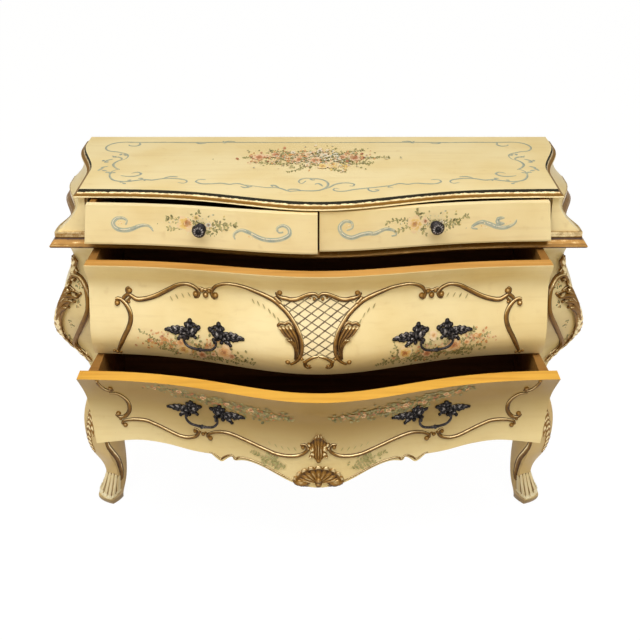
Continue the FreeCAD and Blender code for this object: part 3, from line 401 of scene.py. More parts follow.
BLUE_GREY = srgb(160, 172, 162)
BLUE_DEEP = srgb(126, 142, 138)
BLUSH = srgb(240, 212, 178)
HEART = srgb(160, 92, 52)
ROSE = srgb(212, 144, 104)
ROSE_DEEP = srgb(172, 94, 64)
PEACH = srgb(226, 172, 104)
PEACH_DEEP = srgb(204, 132, 56)
BUTTER = srgb(238, 208, 124)
BUTTER_DEEP = srgb(218, 164, 66)
CHALK = srgb(240, 232, 212)
LEAF = srgb(122, 120, 62)
SAGE = srgb(160, 154, 100)
MOSS = srgb(84, 84, 40)
GREENS = (LEAF, SAGE, MOSS, SAGE)
BLOSSOMS = (ROSE, PEACH, ROSE_DEEP, BLUSH, PEACH_DEEP)


def brush_paint(place):
    """Each stroke's own tone, thin in places so that the ivory shows through."""
    tone = place.node("ShaderNodeAttribute", {"attribute_name": "tone"}, None, 0)
    bristles = noise(place, 480.0, 4.0)
    thin = noise(place, 70.0, 3.0)
    colour = mix(0.05 + 0.25 * fade(thin, 0.35, 0.7), tone, IVORY)
    colour = mix(0.1 * fade(bristles, 0.5, 0.7), colour, GLAZE)
    return colour, 0.4 + 0.2 * bristles, bump(bristles, 0.2, 0.0004)


paint_finish = new_finish("brush paint", brush_paint)
MM = 0.001
TOP_CORNER_Y = -50.8
BORDER = (
    ((0, 351), (102, 351), (233, 352), (303, 350), (385, 352), (442, 351), (479, 353), (502, 344), (515, 323),
     (516, 300), (505, 280), (482, 271), (459, 255), (452, 238), (456, 214), (467, 203)),
    ((462, 214), (474, 190), (476, 168), (466, 146), (455, 136)),
    ((458, 140), (470, 122), (472, 98), (466, 74), (454, 57), (430, 49), (406, 57), (390, 63), (370, 60),
     (348, 70), (322, 71), (299, 62), (292, 49), (298, 38), (312, 44)),
    ((442, 351), (438, 333), (445, 320), (460, 322), (465, 331)),
    ((446, 92), (431, 86), (412, 88), (402, 103), (411, 116), (424, 108)),
    ((251, 62), (266, 64), (272, 49), (259, 35), (237, 34), (216, 38), (197, 31), (179, 36), (160, 22),
     (152, 11), (163, 6)),
    ((484, 214), (496, 204), (500, 190)), ((486, 160), (498, 150), (496, 136)),
    ((482, 232), (470, 228), (462, 214)), ((233, 352), (222, 361), (206, 358)),
    ((303, 350), (292, 340), (276, 344)), ((348, 70), (334, 84), (316, 82)),
)
MIDDLE_BORDER = (
    ((-28, 55), (-37, 36), (-44, 47), (-40, 64), (-28, 73), (-14, 70), (1, 67), (14, 56), (21, 36), (19, 15),
     (11, -1), (1, -10), (-16, -14), (-40, -12), (-63, -16), (-76, -4), (-90, 7), (-116, 9),
     (-145, 20), (-166, 28)),
    ((1, -8), (22, 8), (36, 29), (54, 40), (71, 38), (79, 29), (74, 18), (68, 21)),
    ((45, -1), (35, 3), (33, -10), (45, -17), (60, -14), (77, -5), (100, 3), (118, 8), (147, 18), (166, 27)),
    ((-37, -12), (-49, -3), (-63, -4), (-67, -14), (-60, -20)), ((9, 16), (3, 32), (-3, 36), (-8, 30)),
    ((108, 5), (109, -8), (119, -18), (131, -8), (122, -5)), ((-86, 6), (-96, 22), (-104, 24), (-100, 12)),
    ((-20, 70), (-14, 60), (-8, 62)), ((-145, 19), (-160, 8), (-171, 16)),
)


def on_top(across, up, out):
    return Vector((across * MM, (up + TOP_CORNER_Y) * MM, TOP_Z + out * MM))


border = Drawing(1)
middle_border = Drawing()
for drawing, lines in ((border, BORDER), (middle_border, MIDDLE_BORDER)):
    for line in lines:
        drawing.stroke(line, 6.2, BLUE_GREY)
        drawing.stroke([(x + 0.8, y - 1.4) for x, y in line], 3.0, BLUE_DEEP)
for x, y in ((500, 190), (496, 136), (482, 232), (480, 112), (470, 250), (392, 66), (232, 356), (430, 47)):
    border.spray(x, y, 16, 16, 4, 12.0, (BLUE_GREY, BLUE_DEEP))
middle_border.put_up("top_border_middle", on_top, "carcass", paint_finish, "painted_wood")
border.pair_up("top_border", (on_top, on_top), "carcass", paint_finish, "painted_wood")
BOUQUET_Y = 216


def on_bouquet(across, up, out):
    """The place on the top for a point of the bouquet, which is drawn together sideways and out in depth."""
    return on_top(0.8 * across - 13, BOUQUET_Y + 1.5 * (up - BOUQUET_Y), out)


bouquet = Drawing(2)
for end in (-1, 1):
    for path in (((60, 216), (120, 222), (215, 224)), ((50, 200), (100, 190), (165, 196)),
                 ((40, 226), (90, 250), (140, 262)), ((20, 190), (44, 166), (80, 150))):
        bouquet.sprig([(10 + end * x, y) for x, y in path], 10.0, GREENS)
bouquet.spray(10, 216, 330, 84, 300, 10.0, (LEAF, SAGE, SAGE))
bouquet.spray(10, 214, 290, 74, 150, 9.5, BLOSSOMS + (CHALK, BLUE_GREY))
for x, y, tones in (
        (-165, 222, BLOSSOMS), (-95, 232, BLOSSOMS), (-25, 224, BLOSSOMS), (30, 240, (BLUSH, ROSE, CHALK)),
        (45, 222, (CHALK, BLUE_GREY, CHALK, BLUE_DEEP)), (62, 184, (BUTTER, BUTTER_DEEP, CHALK)),
        (120, 222, (ROSE_DEEP, ROSE, PEACH))):
    bouquet.spray(x, y, 84, 56, 34, 13.0, tones)
for flower in (
        (-160, 222, 17, ROSE, ROSE_DEEP), (120, 220, 19, ROSE_DEEP, HEART),
        (60, 182, 20, BUTTER, BUTTER_DEEP), (-30, 220, 22, ROSE, PEACH_DEEP),
        (-110, 234, 15, ROSE, ROSE_DEEP), (-74, 216, 11, PEACH, ROSE_DEEP), (-40, 210, 16, ROSE, ROSE_DEEP),
        (-14, 236, 13, BLUSH, ROSE), (6, 206, 18, ROSE, ROSE_DEEP), (36, 230, 13, CHALK, BLUE_GREY),
        (28, 176, 16, BUTTER, BUTTER_DEEP), (-16, 180, 10, CHALK, BUTTER_DEEP),
        (58, 186, 12, BUTTER, PEACH_DEEP), (62, 216, 11, BLUSH, ROSE), (88, 222, 13, ROSE, ROSE_DEEP),
        (116, 232, 8, PEACH, ROSE_DEEP), (-136, 228, 8, BLUSH, ROSE), (20, 256, 9, CHALK, BLUE_DEEP),
        (-60, 246, 9, CHALK, BLUE_GREY)):
    bouquet.rose(*flower)
bouquet.spray(10, 214, 310, 82, 170, 9.0, (MOSS, LEAF, SAGE, MOSS, CHALK))
bouquet.put_up("top_bouquet", on_bouquet, "carcass", paint_finish, "painted_wood")


# Corner carving
# Each stile has an applied gilt scroll on its inner side and acanthus leaves along the arris with the side.
# They were carved from limewood strips, glued on and gilded; small painted sprigs fill the field between.
FARTHEST_PAST = 60
ROUND_CORNER = 12


def face_of(*names, wrap=1.0, way=(0.0, -1.0)):
    """The place on the front of some nodes for a point across, up and out.

    Past the nodes' edge a point goes round the corner: sideways where wrap is 1, up or down where it is 0.
    Things stand out along way, x and y on the right-hand side.
    """
    points = []
    faces = []
    for name in names:
        mesh = nodes[name].data
        first = len(points)
        points += [v.co.copy() for v in mesh.vertices]
        faces += [[first + i for i in p.vertices] for p in mesh.polygons]
    tree = BVHTree.FromPolygons(points, faces)
    clear = 0.1
    start = min(p.y for p in points) - clear
    middle = 0.5 * (min(p.z for p in points) + max(p.z for p in points)) / MM

    def board(across, up, out):
        side = 1.0 if across > 0.0 else -1.0
        level = 1.0 if up < middle else -1.0
        for past in range(FARTHEST_PAST):
            x = (across - wrap * side * past) * MM
            z = (up + (1.0 - wrap) * level * past) * MM
            spot = tree.ray_cast(Vector((x, start, z)), Vector((0.0, 1.0, 0.0)))[0]
            if spot is not None:
                turn = min(past, ROUND_CORNER) * MM
                x += side * (way[0] * out * MM + 0.25 * wrap * turn)
                z -= 0.25 * (1.0 - wrap) * level * turn
                return Vector((x, spot.y + way[1] * out * MM + turn, z))
        return Vector((across * MM, start + clear, up * MM))

    return board


def both_faces(*names, way):
    """The fronts of right-hand and of left-hand nodes."""
    return [face_of(*[name + side for name in names], way=way) for side in ("_right", "_left")]


def crest(share):
    return (share, share, share, 1.0)


SCROLL_SECTION = (
    (0.6, -0.12), (0.56, 0.02), (0.46, 0.05), (0.42, 0.2), (0.33, 0.4), (0.18, 0.52), (0.0, 0.56),
    (-0.18, 0.52), (-0.33, 0.4), (-0.42, 0.2), (-0.46, 0.05), (-0.56, 0.02), (-0.6, -0.12),
)


def bead(drawing, path, width):
    """A carved half-round bead between two fillets, thin at both ends, dark on the fillets, with a painted
    highlight along its upper side and painted shade along its lower side.
    """
    rows = []
    for share, x, y, way_x, way_y in walk(path, 2.2):
        # upper: how far each side of the bead faces the light from the upper left; the tones paint highlight
        # and shade from it
        upper = 0.9 * way_x + 0.4 * way_y
        size = width * (0.55 + 0.45 * min(1.0, 5.0 * share, 5.0 * (1.0 - share)) ** 0.7)
        if share in (0.0, 1.0):
            size *= 0.3
        row = []
        for s, h in SCROLL_SECTION:
            lit = s * upper / 0.46
            light = 0.28 + 0.28 * lit + 0.8 * math.exp(-((lit - 0.62) / 0.17) ** 2) if abs(s) < 0.45 else 0.0
            row.append((x - way_y * s * size, y + way_x * s * size, h * size, crest(light)))
        rows.append(row)
    drawing.skin(rows)


def boss(drawing, x, y, radius, height, flat=1.0):
    """A carved knob, round or oval, with a painted highlight on its crown and upper side and painted shade on
    its lower side.
    """
    rows = []
    for i in range(7):
        share = i / 6.0
        rise = height * math.sqrt(1.0 - share * share) if i < 6 else -0.4
        ring = []
        for j in range(17):
            way = -j * math.tau / 16.0
            # Painted highlight on the crown and upper side, painted shade on the lower side.
            light = 0.2 + 0.45 * (1.0 - share) + 0.8 * share * (1.0 - 0.5 * share) * math.sin(way)
            ring.append((x + radius * share * math.cos(way), y + flat * radius * share * math.sin(way), rise,
                         crest(light)))
        rows.append(ring)
    drawing.skin(rows)


def leaf(drawing, path, half, lobes, height):
    """A carved acanthus leaf along a path to its tip: lobed edge, midrib, veins and a lifted end, lighter on
    its raised parts, with painted highlight on its side towards the upper left and painted shade on the
    other.
    """
    rows = []
    for u, x, y, way_x, way_y in walk(path, math.dist(path[0], path[-1]) / 26.0):
        upper = 0.9 * way_x + 0.4 * way_y
        row = []
        for j in range(13):
            v = 1.0 - j / 6.0
            sweep = u - 0.16 * abs(v)
            lobe = abs(math.sin(math.pi * lobes * sweep)) ** 0.6
            wide = half * (math.sin(math.pi * min(1.0, 0.12 + 0.88 * u)) ** 0.6) * (0.55 + 0.45 * lobe)
            vein = 0.5 + 0.5 * math.cos(math.tau * lobes * sweep + math.pi)
            dome = (1.0 - v * v) ** 0.5 * (0.55 + 0.45 * math.sin(math.pi * (0.2 + 0.7 * u)))
            rise = dome * (0.55 + 0.45 * vein) - 0.3 * math.exp(-(v / 0.14) ** 2) * (1.0 - u)
            out = height * rise if j not in (0, 12) else -0.5
            # Lighter on the raised parts; v * upper paints highlight on the side towards the upper left and
            # shade on the other.
            light = 0.2 + 1.0 * max(0.0, rise) ** 1.6 + 0.5 * v * upper
            row.append((x - way_y * v * wide, y + way_x * v * wide, out, crest(light)))
        rows.append(row)
    drawing.skin(rows)


# The tone of a carved drawing: its height, and on beads, knobs and leaves also their painted highlight and
# shade.
def carved_height_and_light(place):
    return place.node("ShaderNodeAttribute", {"attribute_name": "tone"}, None, 2)


# The stile carving's gilt is lifted brighter all over, as painted light on the canted stiles.
corner_painted_light_finish = gilt_finish("gilt carving lifted by painted light", lambda place: 0.16 + carved_height_and_light(place))

STILE_LINE = ((566, 603), (574, 605), (575, 613), (566, 618), (553, 618), (543, 610), (536, 597), (533, 580),
              (533, 560), (538, 541), (548, 518), (562, 490), (577, 459), (590, 431), (593, 413), (586, 400),
              (574, 391), (562, 376))
ACANTHUS = (
    (((578, 608), (573, 634), (567, 664)), 10, 4, 2.4), (((577, 618), (568, 634), (557, 629)), 6, 3, 2.4),
    (((603, 558), (590, 586), (577, 608)), 10, 4, 3.6), (((614, 534), (603, 560), (588, 592)), 10, 4, 4.0),
    (((623, 512), (614, 538), (600, 568)), 11, 4, 4.0), (((631, 486), (623, 514), (611, 547)), 11, 4, 4.0),
    (((633, 460), (629, 490), (617, 524)), 11, 4, 4.0), (((627, 436), (630, 464), (622, 500)), 10, 4, 3.6),
    (((611, 413), (622, 436), (624, 470)), 8, 4, 2.8), (((592, 395), (608, 411), (618, 440)), 7, 4, 2.0),
    (((612, 414), (592, 394), (572, 383), (555, 368)), 11, 5, 3.6),
    (((584, 384), (572, 376), (561, 362)), 7, 3, 2.0),
)
TONGUES = (((619, 524), (608, 550), (594, 565), (578, 572), (560, 573), (553, 580)),
           ((613, 540), (604, 558), (596, 574), (584, 584), (570, 582)),
           ((624, 506), (614, 528), (602, 546), (588, 555), (570, 557)),
           ((628, 486), (620, 508), (610, 524), (598, 534), (588, 537)))
corner = Drawing()
bead(corner, STILE_LINE, 9.5)
boss(corner, 568, 608, 5.0, 5.5)
for path, half, lobes, height in ACANTHUS:
    leaf(corner, path, half, lobes, height)
for path in TONGUES:
    bead(corner, path, 8.5)
    bead(corner, [(x - 2, y + 7) for x, y in path[:-1]], 6.0)
    boss(corner, path[-1][0], path[-1][1], 4.0, 5.0)
sprigs = Drawing(4)
for x, y in ((557, 600), (561, 550), (590, 488), (607, 429)):
    sprigs.spray(x, y, 14, 24, 12, 6.0, (LEAF, MOSS, SAGE))
    sprigs.spray(x, y, 8, 14, 4, 4.0, (PEACH, PEACH_DEEP))
ground_finish = gilt_finish("gilt ground", lambda place: 0.1 + 0.7 * noise(place, 50.0, 4.0))
dress(ground_finish, *both("stile_carving"))
stiles = both_faces("corner_stile", "stile_carving", way=(0.7, -0.71))
corner.pair_up("corner_acanthus", stiles, "carcass", corner_painted_light_finish, "gilt_wood")
sprigs.pair_up("corner_sprigs", stiles, "carcass", paint_finish, "painted_wood")


# Legs
# Cabriole legs, sawn and carved from one piece each, ivory under a brown glaze and dark at the pads.
# The front ones have an acanthus strip on the knee, a gilt line down the inner arris and a fluted foot.
def glazed_leg(place):
    colour, rough, relief = ivory(place)
    pad = 1.0 - fade(along(place, "Z") + 0.004 * noise(place, 60.0, 3.0), 0.012, 0.018)
    colour = mix(0.42 + 0.25 * noise(place, 14.0, 4.0), colour, GLAZE)
    return mix(0.6 * pad, colour, SPECK), rough, relief


dress(new_finish("glazed leg paint", glazed_leg), *both("front_leg", "back_leg"))
KNEE = ((((566, 246), (570, 224), (574, 200)), 8, 4), (((570, 222), (575, 196), (576, 168)), 9, 4),
        (((575, 190), (577, 164), (573, 140)), 9, 4), (((576, 160), (573, 140), (567, 120)), 7, 4),
        (((560, 232), (564, 204), (563, 176)), 5, 3))
LEG_LINE = ((532, 216), (530, 190), (527, 162), (520, 139), (511, 110), (506, 82), (503, 61), (503, 47))
FLUTES = (((548, 58), (555, 46), (563, 33)), ((540, 62), (546, 46), (553, 27)),
          ((532, 64), (536, 46), (541, 24)), ((524, 65), (527, 46), (530, 22)),
          ((516, 64), (517, 46), (519, 23)), ((508, 60), (508, 44), (508, 27)))
FOOT_LIP = ((503, 29), (508, 24), (514, 21), (524, 19), (535, 19), (546, 21), (556, 26), (566, 34))
carved_finish = gilt_finish("gilt carving", carved_height_and_light)
knee = Drawing()
for path, half, lobes in KNEE:
    leaf(knee, path, half, lobes, 3.5)
bead(knee, LEG_LINE, 8.5)
flutes = Drawing()
for path in FLUTES:
    bead(flutes, path, 8.0)
    boss(flutes, path[-1][0], path[-1][1] - 1, 5.5, 5.0)
bead(flutes, FOOT_LIP, 7.0)
grooves = Drawing()
for first, second in zip(FLUTES, FLUTES[1:]):
    grooves.stroke([(0.5 * (a + c), 0.5 * (b + d)) for (a, b), (c, d) in zip(first, second)], 6.0, SPECK)
# The flutes take the carved tone: brown as painted shade on their fillets and lower sides, pale as painted
# highlight on their upper sides and knobs.
FLUTE_PAINTED_SHADE = srgb(150, 110, 58)
FLUTE_PAINTED_HIGHLIGHT = srgb(255, 246, 216)


def fluted_foot(place):
    """Ivory, brown on the fillets and lower sides of the flutes as painted shade, and pale on their upper
    sides and knobs as painted highlight.
    """
    colour, rough, relief = ivory(place)
    tone = carved_height_and_light(place)
    colour = mix(1.0 - fade(tone, -0.05, 0.18), colour, FLUTE_PAINTED_SHADE)
    return mix(0.9 * fade(tone, 0.15, 0.45), colour, FLUTE_PAINTED_HIGHLIGHT), rough, relief


legs = both_faces("front_leg", way=(0.4, -0.92))
knee.pair_up("knee_carving", legs, "carcass", carved_finish, "gilt_wood")
flutes.pair_up("foot_flutes", legs, "carcass", new_finish("fluted foot paint", fluted_foot), "painted_wood")
grooves.pair_up("foot_grooves", legs, "carcass", paint_finish, "painted_wood")


# Drawer boxes
# Sides, backs and bottoms are thin boards, rebated and nailed. Their edges and the upper part of the
# sides are clear-varnished amber wood that fades into the brown stain lower down as painted shade, and the
# insides are stained brown.
AMBER = (srgb(214, 160, 84), srgb(192, 136, 62))
# The same amber wood made brighter for the bottom drawer's edge, as painted light where that drawer stands
# out from under the belly.
AMBER_PAINTED_LIT = (srgb(242, 186, 76), srgb(218, 154, 56))
SIDE_EDGE = srgb(94, 54, 18)


def amber(place, tones):
    """Colour, roughness and relief of varnished pale wood."""
    streaks = noise(stretch(place, 5.0, 80.0, 80.0), 1.0, 7.0)
    figure = noise(stretch(place, 2.0, 16.0, 16.0), 1.0, 4.0)
    colour = mix(fade(0.55 * streaks + 0.45 * figure, 0.38, 0.68), tones[0], tones[1])
    return colour, 0.4 + 0.15 * streaks, bump(streaks, 0.12, 0.0005)


def box_finish(name, top):
    """Amber edge, and sides that fade from amber into the brown stain below a drawer's upper edge at a
    height, as painted shade inside the drawer.
    """
    def look(place):
        pale, rough, relief = amber(place, AMBER)
        height = along(place, "Z")
        # depth: painted shade, taking the sides from amber at the upper edge into the brown stain lower down.
        depth = 1.0 - fade(height + 0.01 * noise(place, 20.0, 3.0), top - 0.09, top - 0.004)
        edge = facing(place, "Z", 0.75, 0.9) * fade(height, top - 0.012, top - 0.01)
        pale = mix(0.45 + 0.15 * edge, pale, SIDE_EDGE)
        return mix(1.0 - 0.97 * depth * (1.0 - edge), stained(place)[0], pale), rough, relief

    return new_finish(name, look)


for drawer in ("left", "right", "middle", "bottom"):
    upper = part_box(drawer + "_drawer_sides")[1].z
    dress(box_finish(drawer + " drawer sides", upper), drawer + "_drawer_sides")
    dress(stained_finish, drawer + "_drawer_back", drawer + "_drawer_bottom")


# Frieze drawer fronts
# Two serpentine fronts side by side under the top, ivory outside and along their upper edges.
# Each has blue-grey scrolls at both ends and a small spray behind its knob.
# Brown laid on the fronts: a real glaze in thin clouds, and painted shade under edges and overhangs.
BROWN_GLAZE_AND_SHADE = srgb(164, 134, 74)


def front_finish(name, bare, tones, glazed):
    """Ivory face, part darkened brown by glaze and by painted shade, stained inner side, and pale wood where
    the upper edge is bare.
    """
    def look(place):
        face, rough, relief = ivory(place)
        # glazed gives where the brown goes: thin glaze, and painted shade from the masks below.
        face = mix(glazed(place), face, BROWN_GLAZE_AND_SHADE)
        upper = facing(place, "Z", 0.75, 0.9) * bare(place)
        outer = mix(upper, face, amber(place, tones)[0])
        return mix(facing(place, "Y", 0.3, 0.5), outer, stained(place)[0]), rough, relief

    return new_finish(name, look)


def bare_edge(least):
    """How bare an upper edge is: a share at least, and more where it is rubbed."""
    return lambda place: least + (1.0 - least) * noise(place, 30.0, 3.0)


FRIEZE_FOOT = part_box("left_drawer_front")[0].z


def thin_glaze_and_foot_shade(place):
    """A breath of glaze all over, and a darker line along the lower edge as painted shade."""
    height = along(place, "Z") + 0.001 * noise(place, 50.0, 3.0)
    # foot: painted shade along the lower edge of the front.
    foot = 1.0 - fade(height, FRIEZE_FOOT + 0.003, FRIEZE_FOOT + 0.0045)
    return 0.1 * noise(place, 12.0, 4.0) + 0.45 * foot


frieze_finish = front_finish("frieze front", bare_edge(0.75), (EDGE_BEAD, IVORY), thin_glaze_and_foot_shade)
dress(frieze_finish, "left_drawer_front", "right_drawer_front")
LEFT_SCROLLS = (
    ((-418, 786), (-414, 795), (-424, 801), (-437, 799), (-445, 789), (-440, 778), (-424, 773), (-406, 776),
     (-383, 785), (-366, 784), (-358, 773)),
    ((-179, 766), (-181, 777), (-166, 787), (-148, 783), (-127, 773), (-106, 769), (-81, 772), (-62, 783),
     (-63, 796), (-75, 803), (-88, 796), (-84, 787), (-75, 789)),
)
RIGHT_SCROLLS = (
    ((60, 787), (72, 792), (70, 804), (56, 807), (45, 795), (51, 779), (70, 770), (92, 776), (107, 778),
     (122, 777), (144, 785), (163, 780), (167, 771), (157, 769)),
    ((346, 773), (334, 776), (340, 783), (355, 788), (371, 783), (391, 775), (410, 774), (427, 782),
     (431, 791)),
    ((405, 783), (391, 784), (391, 794), (404, 796)),
)
LEFT_ROSES = ((-286, 793, 19, BUTTER, BUTTER_DEEP), (-282, 795, 11, PEACH_DEEP, HEART),
              (-236, 794, 8, CHALK, BLUE_DEEP), (-262, 808, 8, BUTTER, SAGE))
RIGHT_ROSES = ((208, 792, 19, BUTTER, PEACH_DEEP), (207, 792, 10, BUTTER_DEEP, HEART),
               (266, 792, 6, CHALK, BLUE_DEEP), (230, 797, 9, BLUSH, HEART))
LEFT_STEMS = (((-262, 795), (-296, 800), (-326, 806)), ((-270, 790), (-300, 783), (-322, 780)),
              ((-240, 795), (-212, 797), (-178, 797)), ((-240, 790), (-220, 784), (-196, 788)),
              ((-262, 800), (-262, 812), (-256, 818)), ((-248, 786), (-240, 776), (-232, 772)))
RIGHT_STEMS = (((206, 796), (178, 804), (148, 800)), ((206, 790), (184, 784), (168, 778)),
               ((212, 800), (216, 812), (212, 820)), ((262, 792), (290, 792), (322, 803)),
               ((216, 786), (226, 776), (232, 770)), ((264, 790), (282, 784), (300, 786)))
for body, scrolls, stems, roses in (("left_drawer", LEFT_SCROLLS, LEFT_STEMS, LEFT_ROSES),
                                    ("right_drawer", RIGHT_SCROLLS, RIGHT_STEMS, RIGHT_ROSES)):
    spray = Drawing(7)
    for path in scrolls:
        spray.stroke(path, 10.0, BLUE_GREY)
        spray.stroke([(x + 0.8, y - 1.6) for x, y in path], 2.2, BLUE_DEEP)
        spray.stroke([(x - 0.6, y + 1.6) for x, y in path], 1.6, CHALK)
        spray.spray(path[3][0] + 8, path[3][1] - 10, 16, 12, 6, 4.5, (PEACH, CHALK, BUTTER))
    for path in stems:
        spray.sprig(path, 9.5, (LEAF, SAGE, SAGE, MOSS))
    middle_x = 0.5 * (roses[0][0] + roses[2][0])
    spray.spray(middle_x, 793, 150, 36, 150, 6.0, (LEAF, SAGE, MOSS, CHALK, SAGE, BUTTER))
    for flower in roses:
        spray.rose(*flower)
    front = body + "_front"
    spray.put_up(front + "_paint", face_of(front), body, paint_finish, "painted_wood")


# Middle drawer front
# The belly of the chest: one thick board shaped both ways, with applied gilt scrolls that frame a panel
# round each pull and a trellis cartouche between two acanthus leaves. Sprays are painted round the pulls.
MIDDLE_EDGE_Y = -0.1608
MIDDLE_BOW = 0.065
MIDDLE_BOW_WIDTH = 0.19


def behind_lip(place):
    """The bare wood of the upper edge starts behind a narrow painted lip that follows the bowed front."""
    x = along(place, "X")
    bow = MIDDLE_BOW * x.sum("POWER", math.e, (-0.5 / MIDDLE_BOW_WIDTH ** 2) * (x * x))
    return fade(along(place, "Y") + bow, MIDDLE_EDGE_Y + 0.0035, MIDDLE_EDGE_Y + 0.005)


MIDDLE_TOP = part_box("middle_drawer_front")[1].z


def glaze_and_edge_shade(place):
    """Painted shade under the upper edge, where the frieze overhangs, most of all at the middle, and a breath
    of glaze all over.
    """
    x = along(place, "X")
    height = along(place, "Z") - 0.18 * (x * x) + 0.012 * noise(place, 14.0, 4.0)
    # The band near the upper edge is painted shade; the noise term is a thin glaze.
    return 0.1 * noise(place, 12.0, 4.0) + 0.26 * fade(height, MIDDLE_TOP - 0.05, MIDDLE_TOP - 0.004)


def bosses(drawing, knobs):
    """Carved balls, each across, up and with its radius."""
    for x, y, radius in knobs:
        boss(drawing, x, y, radius, 1.1 * radius)


def wing(drawing, inner, outer, flutes, height):
    """Half a leaf between two edges that run from its foot to its lip, with flutes along it."""
    rows = []
    left = smooth(inner, 1.0)
    right = smooth(outer, 1.0)
    for i in range(31):
        u = i / 30.0
        x0, y0 = left[round(u * (len(left) - 1))]
        x1, y1 = right[round(u * (len(right) - 1))]
        row = []
        for j in range(8 * flutes + 1):
            v = j / (8.0 * flutes)
            flute = abs(math.sin(math.pi * flutes * v)) ** 0.7
            rise = (0.3 + 0.7 * flute) * (0.35 + 0.65 * u) * (1.0 - 0.25 * v)
            out = height * rise if 0 < i < 30 and 0 < j < 8 * flutes else -0.5
            light = 0.02 + 0.46 * rise + 0.5 * (u > 0.93)
            row.append((x0 + (x1 - x0) * v, y0 + (y1 - y0) * v, out, crest(light)))
        rows.append(row)
    drawing.skin(rows)


dress(front_finish("middle front", behind_lip, AMBER, glaze_and_edge_shade), "middle_drawer_front")
middle_board = face_of("middle_drawer_front")
MIDDLE_SCROLLS = (
    ((448, 503), (441, 520), (429, 546), (420, 563), (414, 579), (413, 594), (418, 609), (427, 621),
     (438, 628), (447, 626)),
    ((413, 654), (420, 649), (417, 640), (408, 633), (397, 628), (379, 630), (355, 638), (325, 654),
     (306, 665), (287, 670), (270, 664), (260, 652), (263, 643), (271, 642)),
    ((222, 643), (229, 645), (231, 656), (220, 671), (195, 681), (164, 677), (136, 667), (115, 659),
     (95, 650), (77, 637), (63, 624), (50, 607), (42, 593), (37, 577), (36, 559), (40, 543),
     (49, 530), (61, 521)),
)
MIDDLE_BALLS = ((442, 619, 6.5), (414, 646, 6.5), (267, 648, 6.5), (223, 649, 6.5), (245, 648, 6.5),
                (237, 657, 5.0), (253, 657, 5.0), (416, 622, 3.5), (450, 500, 5.0), (443, 498, 4.0),
                (457, 502, 4.0))
middle = Drawing()
for path in MIDDLE_SCROLLS:
    bead(middle, path, 9.5)
bosses(middle, MIDDLE_BALLS)
bead(middle, ((264, 659), (256, 662), (245, 658), (236, 662), (227, 660)), 6.0)
bead(middle, ((430, 627), (423, 634), (415, 640)), 8.0)
bead(middle, ((424, 622), (417, 626), (412, 632)), 5.0)
middle_boards = (middle_board, middle_board)
middle.pair_up("middle_scrolls", middle_boards, "middle_drawer", carved_finish, "gilt_wood",
               "middle_drawer_scrolls")

cartouche = Drawing()
wing(cartouche, ((47, 536), (43, 550), (44, 563), (50, 575), (57, 582)),
     ((53, 536), (52, 552), (54, 564), (60, 573), (71, 579)), 3, 8.0)
wing(cartouche, ((46, 542), (41, 558), (42, 577), (47, 592), (57, 606)),
     ((49, 542), (53, 562), (62, 580), (76, 588), (88, 603)), 4, 10.0)
bead(cartouche, ((89, 602), (81, 608), (71, 608), (62, 611), (53, 602)), 6.0)
bead(cartouche, ((91, 669), (87, 661), (78, 657), (70, 656), (59, 654), (45, 656), (31, 662), (19, 667),
                 (8, 668), (0, 662)), 8.5)
bead(cartouche, ((95, 658), (88, 651), (80, 645)), 9.0)
bead(cartouche, ((15, 517), (21, 513), (28, 519), (28, 530), (20, 538), (10, 544), (0, 546)), 7.0)
bosses(cartouche, ((83, 668, 6.0), (66, 528, 5.6), (9, 657, 4.0), (0, 661, 4.0), (18, 660, 3.0),
                   (21, 520, 4.5), (36, 539, 4.0), (31, 531, 3.5), (40, 547, 3.5)))
cartouche.pair_up("cartouche", middle_boards, "middle_drawer", carved_finish, "gilt_wood",
                  "middle_drawer_cartouche")

CARTOUCHE_EDGE = ((0, 662), (19, 665), (31, 660), (45, 654), (59, 652), (74, 652), (78, 640), (63, 624),
                  (50, 607), (42, 593), (37, 577), (36, 559), (40, 545), (34, 538), (20, 538),
                  (10, 544), (0, 546))


def inside_cartouche(x, y):
    """Whether a place lies on the trellis ground."""
    edge = CARTOUCHE_EDGE + ((-1, CARTOUCHE_EDGE[-1][1]), (-1, CARTOUCHE_EDGE[0][1]))
    hit = False
    for (x0, y0), (x1, y1) in zip(edge, edge[1:] + edge[:1]):
        if (y0 > y) != (y1 > y) and abs(x) < x0 + (x1 - x0) * (y - y0) / (y1 - y0):
            hit = not hit
    return hit


TRELLIS_LINE = srgb(64, 42, 6)
GROUND = srgb(238, 219, 176)
TRELLIS_LEFT = -85
TRELLIS_FOOT = 535
CELL = 5
GROUND_OUT = 0.15
LINE_OUT = 0.45
LINE_STEP = 1.7
trellis = Drawing()
for row in range(28):
    for column in range(34):
        x = TRELLIS_LEFT + CELL * column
        y = TRELLIS_FOOT + CELL * row
        if inside_cartouche(x + 0.5 * CELL, y + 0.5 * CELL):
            trellis.skin([[(x + i, y + j, GROUND_OUT, GROUND) for j in (CELL, 0)] for i in (0, CELL)])
for slope, gap, level, half in ((0.69, 17.2, 605.0, 1.7), (-0.53, 16.5, 621.0, 1.1)):
    for count in range(-12, 13):
        run = []
        for step in range(100):
            x = TRELLIS_LEFT + LINE_STEP * step
            y = level + gap * count + slope * x
            if inside_cartouche(x, y):
                run.append([(x, y + side, LINE_OUT, TRELLIS_LINE) for side in (half, -half)])
            elif run:
                break
        if len(run) > 2:
            trellis.skin(run)
trellis.put_up("cartouche_trellis", middle_board, "middle_drawer", paint_finish, "painted_wood")

